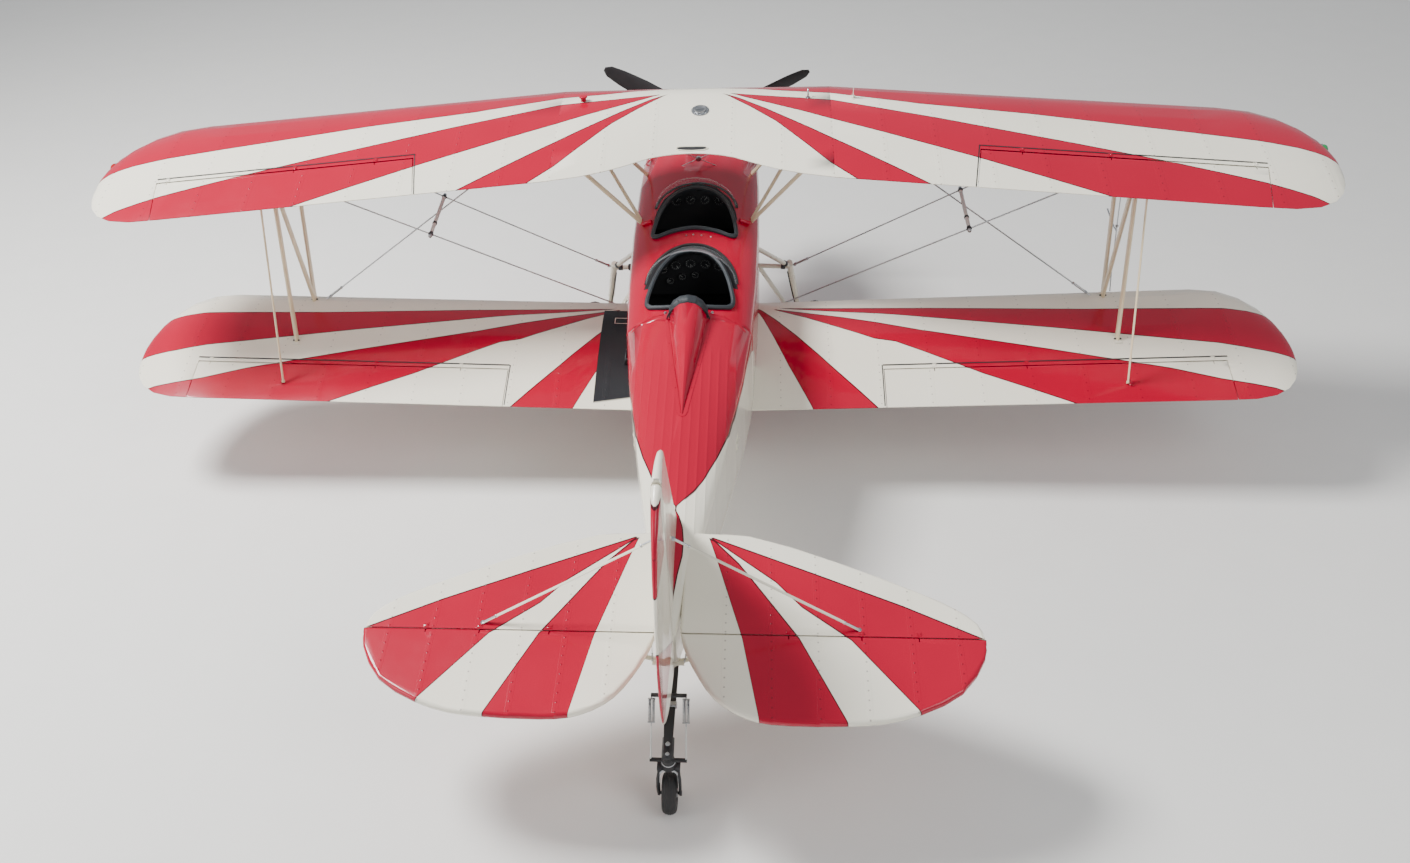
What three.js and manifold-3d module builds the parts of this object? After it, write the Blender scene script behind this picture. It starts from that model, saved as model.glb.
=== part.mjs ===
// Two-seat open-cockpit biplane with a tailwheel, parked on its gear.
// Millimetres, +X right wing, +Y nose, +Z up. The aircraft is drawn level: its datum is the
// trailing edge of the upper centre section. The last group tilts it to its parked attitude.

import * as THREE from 'three';
import { mergeVertices } from 'three/addons/utils/BufferGeometryUtils.js';
import Module from 'manifold-3d';

const wasm = await Module();
wasm.setup();

// Driving dimensions
const GAP = 0.3;                 // clearance left where two pieces meet
const BORE_GAP = 0.7;            // radial clearance of a hub on its axle
const DECK_ANGLE = 9.98;         // degrees nose up when parked
const CHORD = 1150;

const UPPER = { root: 940.3, half: 4065, sweep: 8.8, trailing: 0, z: 0, dihedral: 0, tipAt: 0.55 };
const LOWER = { root: 380, half: 4000, sweep: 0, trailing: -790, z: -1346, dihedral: 2, tipAt: 0.62 };
const TIP_START = 3480;
// Trailing edge of the centre section from the middle out: [x, y]
const CUTOUT = [
  [0, 315], [110, 306], [200, 288], [280, 262], [370, 214], [480, 152], [600, 97], [750, 46], [939, 2],
];

const UPPER_AILERON = { inner: 1880, outer: 3600, chord: 343 };
const LOWER_AILERON = { inner: 1300, outer: 3540, chord: 308 };
const HINGE_GAP = 6;
const END_GAP = 5;
const HINGE = { thick: 5, height: 14, slot: 12 };
const UPPER_HINGES = [2140, 2680, 3530];
const LOWER_HINGES = [1640, 2250, 3450];
const ELEVATOR_HINGES = [605, 966, 1247];
const RUDDER_HINGES = [-540, -110, 300];
const AILERON_ARM = { lower: 165, upper: 202 };   // hinge to slave rod pivot
const ROD_X = 2870;
const LUG = { thick: 8, height: 26, length: 34 };

const STRUT = { thick: 26, chord: 62 };
const N_STRUT = { x: 2875, upperFront: 640, upperRear: 125, lowerFront: 250, lowerRear: -250 };
const CABANE = {
  frontFoot: [363, 1150, -740],
  rearFoot: [384, 500, -700],
  frontTop: [868, 960, -20],
  rearTop: [868, 340, -20],
};

const WIRE = { radius: 5, sides: 6 };
const GEAR_JOINT = [689, 950, -1428];
const LEG_FITTING = [452, 520, -1545];
const GEAR = {
  upperMount: [400, 500, -900],
  lowerMount: [400, 955, -1420],
  foreLegMount: [350, 1150, -1400],
  aftLegMount: [395, 410, -1410],
  knuckle: 110,                  // inboard of the wheel's middle
  stub: [150, 89, 66],           // inner end, outer end, diameter
  axleEnd: 95,
  outrigger: 36,
  strut: 40,
  leg: { thick: 34, chord: 60 },
  fairing: { thick: 52, chord: 90, from: -0.05, to: 0.45 },
};
const WIRE_X = 2800;
const LANDING_WIRE_TOP = [900, 930, -10];
const JAVELIN = { x: 1888, size: 26 };

const THRUST_Z = -980;
const FIREWALL_Y = 1350;
const COWL_FRONT_Y = 2290;
const PROP_Y = 2385;
const PROP_RADIUS = 965;
const SPINNER = { radius: 160, back: 2310, tip: 2750, rootClear: 11 };
const SHANK_RADIUS = 34;
const HUB = { radius: 62, aft: 46, fore: 50 };

const WHEEL = { x: 900, y: 1000, z: -2078, radius: 215, width: 150, rim: 100, axle: 18 };
const TAILWHEEL = { y: -3635, z: -1368.95, radius: 110, width: 86, rim: 52, axle: 8 };
const KINGPIN_Y = -3585;

const TAIL_Z = -650;
const TAIL_THICK = 44;
const ELEVATOR_HINGE_Y = -3190;
const RUDDER_HINGE_Y = -3205;
const STERN_Y = -3172;

const SEAM_Y = -735;             // the tail's skin starts behind the rear cockpit
const COCKPITS = [
  {
    name: 'front',
    wellAft: 150,
    wellFore: 1110,
    screen: { y: 560, half: 292, bow: 290, rise: 175 },
    edge: [
      [0, 775], [110, 742], [190, 662], [240, 550], [270, 425], [288, 305], [291, 232], [272, 203],
      [235, 205], [150, 236], [0, 262],
    ],
  },
  {
    name: 'rear',
    wellAft: -715,
    wellFore: 110,
    screen: { y: -345, half: 306, bow: 424, rise: 190 },
    edge: [
      [0, -8], [90, -30], [150, -82], [205, -170], [244, -285], [270, -410], [284, -530], [266, -588],
      [225, -605], [150, -622], [0, -630],
    ],
  },
];

// Colours and finishes
const FINISH = {
  cream: [0xe9e4d6, 0.35, 0.0],
  red: [0xb3112a, 0.3, 0.0],
  black: [0x151517, 0.55, 0.0],
  rubber: [0x1d1d1e, 0.9, 0.0],
  leather: [0x6f6a63, 0.75, 0.0],
  metal: [0x9a9da0, 0.4, 0.8],
  glass: [0xb9c6c9, 0.1, 0.0],
};

// Solids
const v3 = (p) => new THREE.Vector3(p[0], p[1], p[2]);
const mirrored = (p, side) => [p[0] * side, p[1], p[2]];
const mid = (p, q, t) => p.map((c, i) => c + (q[i] - c) * t);

function solidOf(geometry) {
  const bare = geometry.clone();
  bare.deleteAttribute('normal');
  bare.deleteAttribute('uv');
  const merged = mergeVertices(bare, 1e-4);
  const solid = new wasm.Manifold(new wasm.Mesh({
    numProp: 3,
    vertProperties: new Float32Array(merged.attributes.position.array),
    triVerts: new Uint32Array(merged.index.array),
  }));
  return solid;
}

function geometryOf(solid) {
  const mesh = solid.getMesh();
  const geometry = new THREE.BufferGeometry();
  geometry.setAttribute('position', new THREE.BufferAttribute(new Float32Array(mesh.vertProperties), 3));
  geometry.setIndex(new THREE.BufferAttribute(new Uint32Array(mesh.triVerts), 1));
  geometry.computeVertexNormals();
  return geometry;
}

function join(solids) {
  return solids.reduce((sum, solid) => sum.add(solid));
}

// Drops the slivers that a cut leaves beyond the piece it trims
function trimmed(solid) {
  return solid.decompose().reduce((best, piece) => (piece.volume() > best.volume() ? piece : best));
}

// Skin over a row of rings with equal point counts, capped at both ends or closed on itself
function loft(rings, flatAxis, closed = false) {
  const count = rings[0].length;
  const position = rings.flat().flatMap((p) => [p.x, p.y, p.z]);
  const index = [];
  const spans = closed ? rings.length : rings.length - 1;
  for (let i = 0; i < spans; i += 1) {
    const next = (i + 1) % rings.length;
    for (let j = 0; j < count; j += 1) {
      const k = (j + 1) % count;
      const [a, b, c, d] = [i * count + j, i * count + k, next * count + k, next * count + j];
      index.push(a, b, c, a, c, d);
    }
  }
  if (!closed) {
    const [u, w] = { x: ['y', 'z'], y: ['x', 'z'], z: ['x', 'y'] }[flatAxis];
    const ends = [[rings[0], 0, true], [rings.at(-1), (rings.length - 1) * count, false]];
    for (const [ring, start, flip] of ends) {
      let outline = ring.map((p) => new THREE.Vector2(p[u], p[w]));
      const reversed = THREE.ShapeUtils.isClockWise(outline);
      const order = ring.map((_, i) => (reversed ? count - 1 - i : i));
      outline = order.map((i) => outline[i]);
      for (const face of THREE.ShapeUtils.triangulateShape(outline, [])) {
        const [a, b, c] = face.map((i) => start + order[i]);
        if (flip !== reversed) index.push(a, c, b);
        else index.push(a, b, c);
      }
    }
  }
  const geometry = new THREE.BufferGeometry();
  geometry.setAttribute('position', new THREE.Float32BufferAttribute(position, 3));
  geometry.setIndex(index);
  if (signedVolume(geometry) < 0) {
    for (let i = 0; i < index.length; i += 3) {
      [index[i + 1], index[i + 2]] = [index[i + 2], index[i + 1]];
    }
    geometry.setIndex(index);
  }
  return solidOf(geometry);
}

function signedVolume(geometry) {
  const { position } = geometry.attributes;
  const at = (i) => new THREE.Vector3().fromBufferAttribute(position, geometry.index.array[i]);
  let sum = 0;
  for (let i = 0; i < geometry.index.count; i += 3) sum += at(i).dot(at(i + 1).cross(at(i + 2)));
  return sum / 6;
}

// Straight bar with an oval section: its chord lies along Y where the bar allows it
function bar(p, q, thick, chord = thick, sides = 12) {
  const [from, to] = [v3(p), v3(q)];
  const along = to.clone().sub(from);
  const length = along.length();
  along.normalize();
  const hint = Math.abs(along.y) > 0.9 ? new THREE.Vector3(0, 0, 1) : new THREE.Vector3(0, 1, 0);
  const deep = hint.addScaledVector(along, -hint.dot(along)).normalize();
  const wide = new THREE.Vector3().crossVectors(along, deep);
  const geometry = new THREE.CylinderGeometry(1, 1, length, sides);
  geometry.scale(thick / 2, 1, chord / 2);
  const basis = new THREE.Matrix4().makeBasis(wide, along, deep);
  basis.setPosition(from.add(to).multiplyScalar(0.5));
  geometry.applyMatrix4(basis);
  return solidOf(geometry);
}

function box(low, high) {
  const size = high.map((c, i) => c - low[i]);
  const geometry = new THREE.BoxGeometry(...size);
  geometry.translate(...low.map((c, i) => c + size[i] / 2));
  return solidOf(geometry);
}

// Body turned about the X axis: profile rows are [radius, x]
function turned(profile, centre, segments = 32) {
  const geometry = new THREE.LatheGeometry(profile.map(([r, x]) => new THREE.Vector2(r, x)), segments);
  geometry.rotateZ(-Math.PI / 2);
  geometry.translate(...centre);
  return solidOf(geometry);
}

// Flat plate with rounded edges from an outline, standing square to Z or to X
function plate(outline, thick, edge, flatAxis, at) {
  const shape = new THREE.Shape(outline.map(([a, b]) => new THREE.Vector2(a, b)));
  const geometry = new THREE.ExtrudeGeometry(shape, {
    depth: thick - 2 * edge,
    bevelEnabled: true,
    bevelThickness: edge,
    bevelSize: edge,
    bevelOffset: -edge,
    bevelSegments: 2,
    curveSegments: 6,
  });
  geometry.translate(0, 0, edge - thick / 2);
  if (flatAxis === 'x') {
    geometry.applyMatrix4(new THREE.Matrix4().set(0, 0, 1, 0, 1, 0, 0, 0, 0, 1, 0, 0, 0, 0, 0, 1));
    geometry.translate(at, 0, 0);
  } else {
    geometry.translate(0, 0, at);
  }
  return solidOf(geometry);
}

// Wings: cambered sections of twelve per cent thickness
const STEPS_UP = 9;
const CAMBER = { rise: 0.02, at: 0.4 };

function thickness(c) {
  return 0.6 * (0.2969 * Math.sqrt(c) - 0.126 * c - 0.3516 * c ** 2 + 0.2843 * c ** 3 - 0.1 * c ** 4);
}

function camber(c) {
  const { rise, at } = CAMBER;
  if (c < at) return (rise / at ** 2) * (2 * at * c - c ** 2);
  return (rise / (1 - at) ** 2) * (1 - 2 * at + 2 * at * c - c ** 2);
}

function wingRing(x, lead, trail, z, depth = lead - trail) {
  const chord = lead - trail;
  const ring = [];
  for (let i = 0; i <= STEPS_UP; i += 1) {
    const c = (1 + Math.cos((Math.PI * i) / STEPS_UP)) / 2;
    ring.push(new THREE.Vector3(x, lead - c * chord, z + depth * (camber(c) + thickness(c))));
  }
  for (let i = 1; i <= STEPS_UP; i += 1) {
    const c = (1 - Math.cos((Math.PI * i) / STEPS_UP)) / 2;
    ring.push(new THREE.Vector3(x, lead - c * chord, z + depth * (camber(c) - thickness(c))));
  }
  return ring;
}

const slope = (degrees) => Math.tan(THREE.MathUtils.degToRad(degrees));

function trailingAt(wing, x) {
  return wing.trailing - Math.max(x - UPPER.root, 0) * slope(wing.sweep);
}

function heightAt(wing, x) {
  return wing.z + x * slope(wing.dihedral);
}

function wingSolid(wing, side) {
  const stations = [wing.root, TIP_START];
  const tipLength = wing.half - TIP_START;
  for (const angle of [20, 36, 50, 62, 72, 80, 86]) {
    stations.push(TIP_START + tipLength * Math.sin(THREE.MathUtils.degToRad(angle)));
  }
  const rings = stations.map((x) => {
    const trail = trailingAt(wing, x);
    const lead = trail + CHORD;
    const reach = Math.max((x - TIP_START) / tipLength, 0);
    const shrink = (1 - reach ** 2.3) ** 0.5;
    const middle = lead - wing.tipAt * CHORD;
    const front = middle + (lead - middle) * shrink;
    const back = middle + (trail - middle) * (1 - reach ** 3.4) ** 0.5;
    return wingRing(side * x, front, back, heightAt(wing, x));
  });
  return loft(rings, 'x');
}

// Hinge line of a control at a wing's rear, at mid thickness
function hingeOf(wing, bay, x) {
  const c = 1 - bay.chord / CHORD;
  const y = trailingAt(wing, x) + bay.chord;
  return { point: [x, y, heightAt(wing, x) + CHORD * camber(c)], radius: CHORD * thickness(c) };
}

// Frame on a hinge line: X along it, Y aft
function hingeFrame(from, to) {
  const along = v3(to).sub(v3(from)).normalize();
  const aft = new THREE.Vector3(0, -1, 0).addScaledVector(along, along.y).normalize();
  const across = new THREE.Vector3().crossVectors(along, aft);
  return new THREE.Matrix4().makeBasis(along, aft, across).setPosition(v3(from));
}

function blockAt(frame, low, high) {
  const size = high.map((c, i) => c - low[i]);
  const geometry = new THREE.BoxGeometry(...size);
  geometry.translate(...low.map((c, i) => c + size[i] / 2));
  geometry.applyMatrix4(frame);
  return solidOf(geometry);
}

function rollerAt(frame, radius, start, end, sides = 20) {
  const geometry = new THREE.CylinderGeometry(radius, radius, end - start, sides);
  geometry.rotateZ(Math.PI / 2);
  geometry.translate((start + end) / 2, 0, 0);
  geometry.applyMatrix4(frame);
  return solidOf(geometry);
}

// Cuts a control and its bay out of a surface. The nose is round about the hinge.
function splitControl(surface, from, to, radius, endGap, gap) {
  const frame = hingeFrame(from, to);
  const length = v3(to).distanceTo(v3(from));
  const [deep, high] = [900, 250];
  const bay = blockAt(frame, [0, 0, -high], [length, deep, high])
    .add(rollerAt(frame, radius + gap, 0, length));
  const moving = surface.intersect(blockAt(frame, [endGap, 0, -high], [length - endGap, deep, high]))
    .add(rollerAt(frame, radius, endGap, length - endGap));
  return { fixed: surface.subtract(bay), moving };
}

// Hinges: an arm of the fixed surface enters a slot in the control's nose
function addHinges(parts, frame, stations, radius, gap) {
  const half = HINGE.thick / 2;
  const reach = HINGE.height / 2;
  let { fixed, moving } = parts;
  for (const at of stations) {
    const low = [at - half - GAP, -radius - 2, -radius - 9];
    moving = moving.subtract(blockAt(frame, low, [at + half + GAP, HINGE.slot, radius + 9]));
    fixed = fixed.add(blockAt(frame, [at - half, -radius - gap * 2, -reach], [at + half, reach, reach]));
  }
  return { fixed, moving };
}

// Fuselage: sections are [y, half width, bottom, longeron, top]
const FUSELAGE_SECTIONS = [
  [FIREWALL_Y, 440, -1425, -790, -605],
  [1000, 450, -1440, -770, -590],
  [400, 452, -1445, -755, -580],
  [-200, 438, -1445, -745, -575],
  [-700, 412, -1425, -735, -572],
  [-1200, 358, -1355, -720, -576],
  [-2000, 238, -1190, -697, -592],
  [-2700, 125, -1040, -680, -612],
  [STERN_Y, 36, -930, -672, -624],
];
const DECK_STEPS = 12;
const LOWER_CORNER = 40;

function fuselageRing(y, half, bottom, longeron, top) {
  const corner = Math.min(LOWER_CORNER, half * 0.5);
  const low = [[half - corner, bottom], [half, bottom + corner]];
  const deck = [...Array(DECK_STEPS + 1).keys()].map((i) => {
    const angle = (Math.PI * i) / DECK_STEPS;
    return [half * Math.cos(angle), longeron + (top - longeron) * Math.sin(angle)];
  });
  const far = [[-half, bottom + corner], [-half + corner, bottom]];
  return [...low, ...deck, ...far].map(([x, z]) => new THREE.Vector3(x, y, z));
}

function sectionAt(y) {
  const after = FUSELAGE_SECTIONS.findIndex((row) => row[0] <= y);
  const [fore, aft] = [FUSELAGE_SECTIONS[Math.max(after - 1, 0)], FUSELAGE_SECTIONS[Math.max(after, 1)]];
  return mid(fore, aft, (fore[0] - y) / (fore[0] - aft[0]));
}

function deckHeight(x, y) {
  const [, half, , longeron, top] = sectionAt(y);
  return longeron + (top - longeron) * Math.sqrt(Math.max(1 - (x / half) ** 2, 0));
}

function hullSolid(inset, aft = STERN_Y, fore = FIREWALL_Y) {
  const middle = FUSELAGE_SECTIONS.map((row) => row[0]).filter((y) => y > aft && y < fore);
  const rings = [fore, ...middle, aft].map((y) => {
    const [, half, bottom, longeron, top] = sectionAt(y);
    return fuselageRing(y, half - inset, bottom + inset, longeron - inset, top - inset);
  });
  return loft(rings, 'y');
}

const WALL = 24;
const HEADREST = { tail: -1620, half: 125, rise: 131, sink: 60 };

function halfOval(y, half, base, rise) {
  return [...Array(9).keys()].map((i) => {
    const angle = (Math.PI * i) / 8;
    return new THREE.Vector3(half * Math.cos(angle), y, base + rise * Math.sin(angle) ** 0.8);
  });
}

function headrestFairing() {
  const steps = [[0, 1], [0.25, 0.78], [0.5, 0.53], [1, 0.04]];
  const fore = SEAM_Y - GAP;
  const rings = steps.map(([along, scale]) => {
    const y = fore + (HEADREST.tail - fore) * along;
    const base = deckHeight(0, y) - HEADREST.sink;
    return halfOval(y, HEADREST.half * scale, base, HEADREST.sink + HEADREST.rise * scale);
  });
  return loft(rings, 'y');
}

// Closed outline of a cockpit opening in plan, grown outwards by a margin
function openingOutline(cockpit, grow = 0) {
  const half = cockpit.edge.map(([x, y]) => new THREE.Vector3(x, y, 0));
  const other = half.slice(1, -1).reverse().map((p) => new THREE.Vector3(-p.x, p.y, 0));
  const curve = new THREE.CatmullRomCurve3([...half, ...other], true, 'centripetal');
  const count = 32;
  return [...Array(count).keys()].map((i) => {
    const at = curve.getPointAt(i / count);
    const along = curve.getTangentAt(i / count);
    return new THREE.Vector2(at.x - along.y * grow, at.y + along.x * grow);
  });
}

function prismOf(outline, low, high) {
  const shape = new THREE.Shape(outline);
  const geometry = new THREE.ExtrudeGeometry(shape, { depth: high - low, bevelEnabled: false });
  geometry.translate(0, 0, low);
  return solidOf(geometry);
}

const hullOuter = hullSolid(0);
const fairedHull = hullOuter.add(headrestFairing());

function makeFuselage() {
  let body = hullSolid(0, SEAM_Y);
  for (const cockpit of COCKPITS) {
    body = body.subtract(hullSolid(WALL, cockpit.wellAft, cockpit.wellFore));
    body = body.subtract(prismOf(openingOutline(cockpit), -830, -330));
  }
  return body;
}

function makeAftFuselage() {
  return hullSolid(0, STERN_Y, SEAM_Y - GAP).add(headrestFairing());
}

// Padded edge round a cockpit opening
const RIM_RADIUS = 15;
const RIM_SIDES = 6;

function makeRim(cockpit) {
  const lift = RIM_RADIUS * 0.6;
  const path = openingOutline(cockpit).map((p) => new THREE.Vector3(p.x, p.y, deckHeight(p.x, p.y) + lift));
  const rings = path.map((p, i) => {
    const before = path[(i + path.length - 1) % path.length];
    const after = path[(i + 1) % path.length];
    const along = after.clone().sub(before).normalize();
    const side = new THREE.Vector3(along.y, -along.x, 0).normalize();
    const up = new THREE.Vector3().crossVectors(side, along).normalize();
    return [...Array(RIM_SIDES).keys()].map((k) => {
      const angle = (Math.PI * 2 * (k + 0.5)) / RIM_SIDES;
      return p.clone()
        .addScaledVector(side, RIM_RADIUS * Math.cos(angle))
        .addScaledVector(up, RIM_RADIUS * Math.sin(angle));
    });
  });
  return trimmed(loft(rings, 'z', true).subtract(fairedHull.translate(0, 0, GAP)));
}

// Windscreens: a bowed pane from the deck ahead of the opening, raked back to an arch
const SCREEN = { lean: 6, archBow: 70, thick: 6 };

function makeScreen(cockpit) {
  const { y, half, bow, rise } = cockpit.screen;
  const rings = [];
  for (let i = 0; i <= 12; i += 1) {
    const angle = (Math.PI * (i / 12 - 0.5)) * 0.96;
    const [across, forward] = [Math.sin(angle), Math.cos(angle)];
    const baseX = half * across;
    const baseY = y + bow * forward;
    const foot = new THREE.Vector3(baseX, baseY, deckHeight(baseX, baseY) - 12);
    const archX = (half - SCREEN.lean) * across;
    const archY = y + SCREEN.archBow * forward;
    const crown = new THREE.Vector3(archX, archY, deckHeight(baseX, y) + 12 + rise * forward ** 0.8);
    const inward = new THREE.Vector3(-across, -forward, 0).multiplyScalar(SCREEN.thick);
    const sink = new THREE.Vector3(0, 0, -SCREEN.thick * 0.5);
    rings.push([
      foot,
      foot.clone().lerp(crown, 0.5),
      crown,
      crown.clone().add(inward).add(sink),
      foot.clone().lerp(crown, 0.5).add(inward),
      foot.clone().add(inward),
    ]);
  }
  return trimmed(loft(rings, 'x').subtract(fairedHull.translate(0, 0, GAP)));
}

const PANEL = { ahead: 18, thick: 14, bottom: -960 };

function makePanel(cockpit) {
  const y = cockpit.edge[0][1] + PANEL.ahead;
  const board = hullSolid(WALL + GAP * 2, y, y + PANEL.thick);
  return board.intersect(box([-600, y - 10, PANEL.bottom], [600, y + PANEL.thick + 10, -500]));
}

// Seats: a box below, a pan and an upright back, with heights above the cockpit floor
const SEAT = { half: 200, depth: 470, box: 190, pan: [150, 250], back: 70, top: -850, off: 60 };
const FLOOR_Z = -1445 + WALL + GAP;

function makeSeat(cockpit) {
  const { half, depth, pan, back } = SEAT;
  const aft = cockpit.wellAft + SEAT.off;
  const seat = join([
    box([-half + 10, aft + 10, FLOOR_Z - 40], [half - 10, aft + depth - back, FLOOR_Z + SEAT.box]),
    box([-half, aft + 30, FLOOR_Z + pan[0]], [half, aft + depth, FLOOR_Z + pan[1]]),
    box([-half, aft, FLOOR_Z + pan[0]], [half, aft + back, SEAT.top]),
  ]);
  return seat.intersect(hullSolid(WALL + GAP, cockpit.wellAft + GAP, cockpit.wellFore - GAP));
}

// Headrest pad: a thick roll against the front of the fairing
const PAD = { half: 138, rise: 150, deep: 78 };

function makeHeadrestPad() {
  const at = (y, scale) => {
    const base = deckHeight(0, y) - 40;
    return halfOval(y, PAD.half * scale, base, (PAD.rise + 40) * scale);
  };
  const [aft, fore] = [SEAM_Y, SEAM_Y + PAD.deep];
  const steps = [[aft, 0.95], [aft + 18, 1], [fore - 26, 1], [fore - 6, 0.93], [fore, 0.84]];
  const pad = loft(steps.map(([y, scale]) => at(y, scale)), 'y');
  return trimmed(pad.subtract(hullOuter.translate(0, 0, GAP)));
}

// Wings with their ailerons
function makeWing(wing, bay, stations, side) {
  const whole = wingSolid(wing, side);
  const [inner, outer] = [hingeOf(wing, bay, bay.inner), hingeOf(wing, bay, bay.outer)];
  const [from, to] = [mirrored(inner.point, side), mirrored(outer.point, side)];
  const cut = splitControl(whole, from, to, inner.radius, END_GAP, HINGE_GAP);
  const stretch = v3(to).distanceTo(v3(from)) / (bay.outer - bay.inner);
  const along = stations.map((x) => (x - bay.inner) * stretch);
  const parts = addHinges(cut, hingeFrame(from, to), along, inner.radius, HINGE_GAP);
  return { whole, ...parts, hinge: inner.point };
}

const wings = {};
for (const [word, side] of [['left', -1], ['right', 1]]) {
  wings[`upper_${word}`] = makeWing(UPPER, UPPER_AILERON, UPPER_HINGES, side);
  const low = makeWing(LOWER, LOWER_AILERON, LOWER_HINGES, side);
  low.fixed = trimmed(low.fixed.subtract(hullOuter.translate(side * GAP, 0, 0)));
  wings[`lower_${word}`] = low;
}

function makeCentreSection() {
  const end = UPPER.root - GAP;
  const right = [...CUTOUT.slice(0, -1), [end, CUTOUT.at(-1)[1]]];
  const left = right.slice(1).reverse().map(([x, y]) => [-x, y]);
  return loft([...left, ...right].map(([x, y]) => wingRing(x, CHORD, y, 0, CHORD)), 'x');
}

const centreSection = makeCentreSection();

// Lug beside the slave rod's pivot on an aileron; side of the surface is up or down
function rodPivot(wing, bay, side, upward) {
  const hinge = hingeOf(wing, bay, ROD_X);
  const arm = upward > 0 ? AILERON_ARM.lower : AILERON_ARM.upper;
  const y = hinge.point[1] - arm;
  const c = 1 - (bay.chord - arm) / CHORD;
  const surface = heightAt(wing, ROD_X) + CHORD * (camber(c) + upward * thickness(c));
  return [side * ROD_X, y, surface + upward * (LUG.height - 10)];
}

function lugAt(pivot, side, upward, gap) {
  const inner = ROD_X + 9 + gap;
  const xs = [side * inner, side * (inner + LUG.thick)].sort((a, b) => a - b);
  const zs = [pivot[2] + upward * 10, pivot[2] - upward * LUG.height].sort((a, b) => a - b);
  return box([xs[0], pivot[1] - LUG.length / 2, zs[0]], [xs[1], pivot[1] + LUG.length / 2, zs[1]]);
}

function makeRod(side) {
  const low = rodPivot(LOWER, LOWER_AILERON, side, 1);
  const high = rodPivot(UPPER, UPPER_AILERON, side, -1);
  const eye = (p) => bar([p[0] - 9, p[1], p[2]], [p[0] + 9, p[1], p[2]], 20, 20, 12);
  return join([bar(low, high, 12, 26, 10), eye(low), eye(high)]);
}

// Struts between the wings, in the shape of an N
function makeInterplane(side, upper, lower) {
  const x = side * N_STRUT.x;
  const zLow = heightAt(LOWER, N_STRUT.x) + 40;
  const feet = { front: [x, N_STRUT.lowerFront, zLow], rear: [x, N_STRUT.lowerRear, zLow] };
  const tops = { front: [x, N_STRUT.upperFront, 0], rear: [x, N_STRUT.upperRear, 0] };
  const frame = join([
    bar(feet.front, tops.front, STRUT.thick, STRUT.chord),
    bar(feet.rear, tops.rear, STRUT.thick, STRUT.chord),
    bar(feet.front, tops.rear, STRUT.thick, STRUT.chord * 0.9),
  ]);
  return trimmed(frame.subtract(upper.translate(0, 0, -GAP)).subtract(lower.translate(0, 0, GAP)));
}

function makeCabane(side) {
  const at = (name) => mirrored(CABANE[name], side);
  const frame = join([
    bar(at('frontFoot'), at('frontTop'), 22, 52),
    bar(at('rearFoot'), at('rearTop'), 22, 52),
    bar(at('rearFoot'), at('frontTop'), 22, 46),
  ]);
  return trimmed(frame.subtract(centreSection.translate(0, 0, -GAP))
    .subtract(hullOuter.translate(0, 0, GAP)));
}

// Main gear of one side: outrigger, faired shock strut, two legs and the axle
function makeGear(side) {
  const at = (p) => mirrored(p, side);
  const onAxle = (inboard) => at([WHEEL.x - inboard, WHEEL.y, WHEEL.z]);
  const { outrigger, strut, leg, fairing, stub } = GEAR;
  const [joint, knuckle] = [at(GEAR_JOINT), onAxle(GEAR.knuckle)];
  const cover = [fairing.from, fairing.to].map((t) => mid(joint, knuckle, t));
  const frame = join([
    bar(at(GEAR.upperMount), joint, outrigger),
    bar(at(GEAR.lowerMount), joint, outrigger),
    bar(cover[0], cover[1], fairing.thick, fairing.chord, 14),
    bar(joint, knuckle, strut),
    bar(at(GEAR.foreLegMount), knuckle, leg.thick, leg.chord),
    bar(at(GEAR.aftLegMount), knuckle, leg.thick, leg.chord),
    bar(onAxle(stub[0]), onAxle(stub[1]), stub[2], stub[2], 16),
    bar(knuckle, onAxle(-GEAR.axleEnd), WHEEL.axle * 2, WHEEL.axle * 2, 16),
  ]);
  return trimmed(frame.subtract(hullOuter.translate(side * GAP, 0, -GAP))
    .subtract(hullOuter.translate(side * GAP, 0, 0)));
}

// Stays of one side: two flying wires, a landing wire and the rod that ties them
function makeWires(side, upper, lower, gear) {
  const at = (p) => mirrored(p, side);
  const runs = [
    [GEAR_JOINT, [WIRE_X, N_STRUT.upperFront + 10, -20]],
    [LEG_FITTING, [WIRE_X, N_STRUT.upperRear - 15, -10]],
    [[WIRE_X, N_STRUT.lowerFront + 20, heightAt(LOWER, WIRE_X) + 50], LANDING_WIRE_TOP],
  ];
  const size = WIRE.radius * 2;
  const crossing = (run) => mid(run[0], run[1], (JAVELIN.x - run[0][0]) / (run[1][0] - run[0][0]));
  const [front, rear] = [crossing(runs[0]), crossing(runs[1])];
  const solids = runs.map((run) => bar(at(run[0]), at(run[1]), size, size, WIRE.sides));
  solids.push(bar(at(mid(front, rear, -0.06)), at(mid(front, rear, 1.06)), JAVELIN.size, JAVELIN.size, 10));
  return trimmed(join(solids)
    .subtract(upper.translate(0, 0, -GAP))
    .subtract(centreSection.translate(0, 0, -GAP))
    .subtract(lower.translate(0, 0, GAP))
    .subtract(lower.translate(0, 0, -GAP))
    .subtract(gear.translate(side * GAP, 0, GAP))
    .subtract(gear.translate(side * GAP, 0, -GAP)));
}

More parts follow.
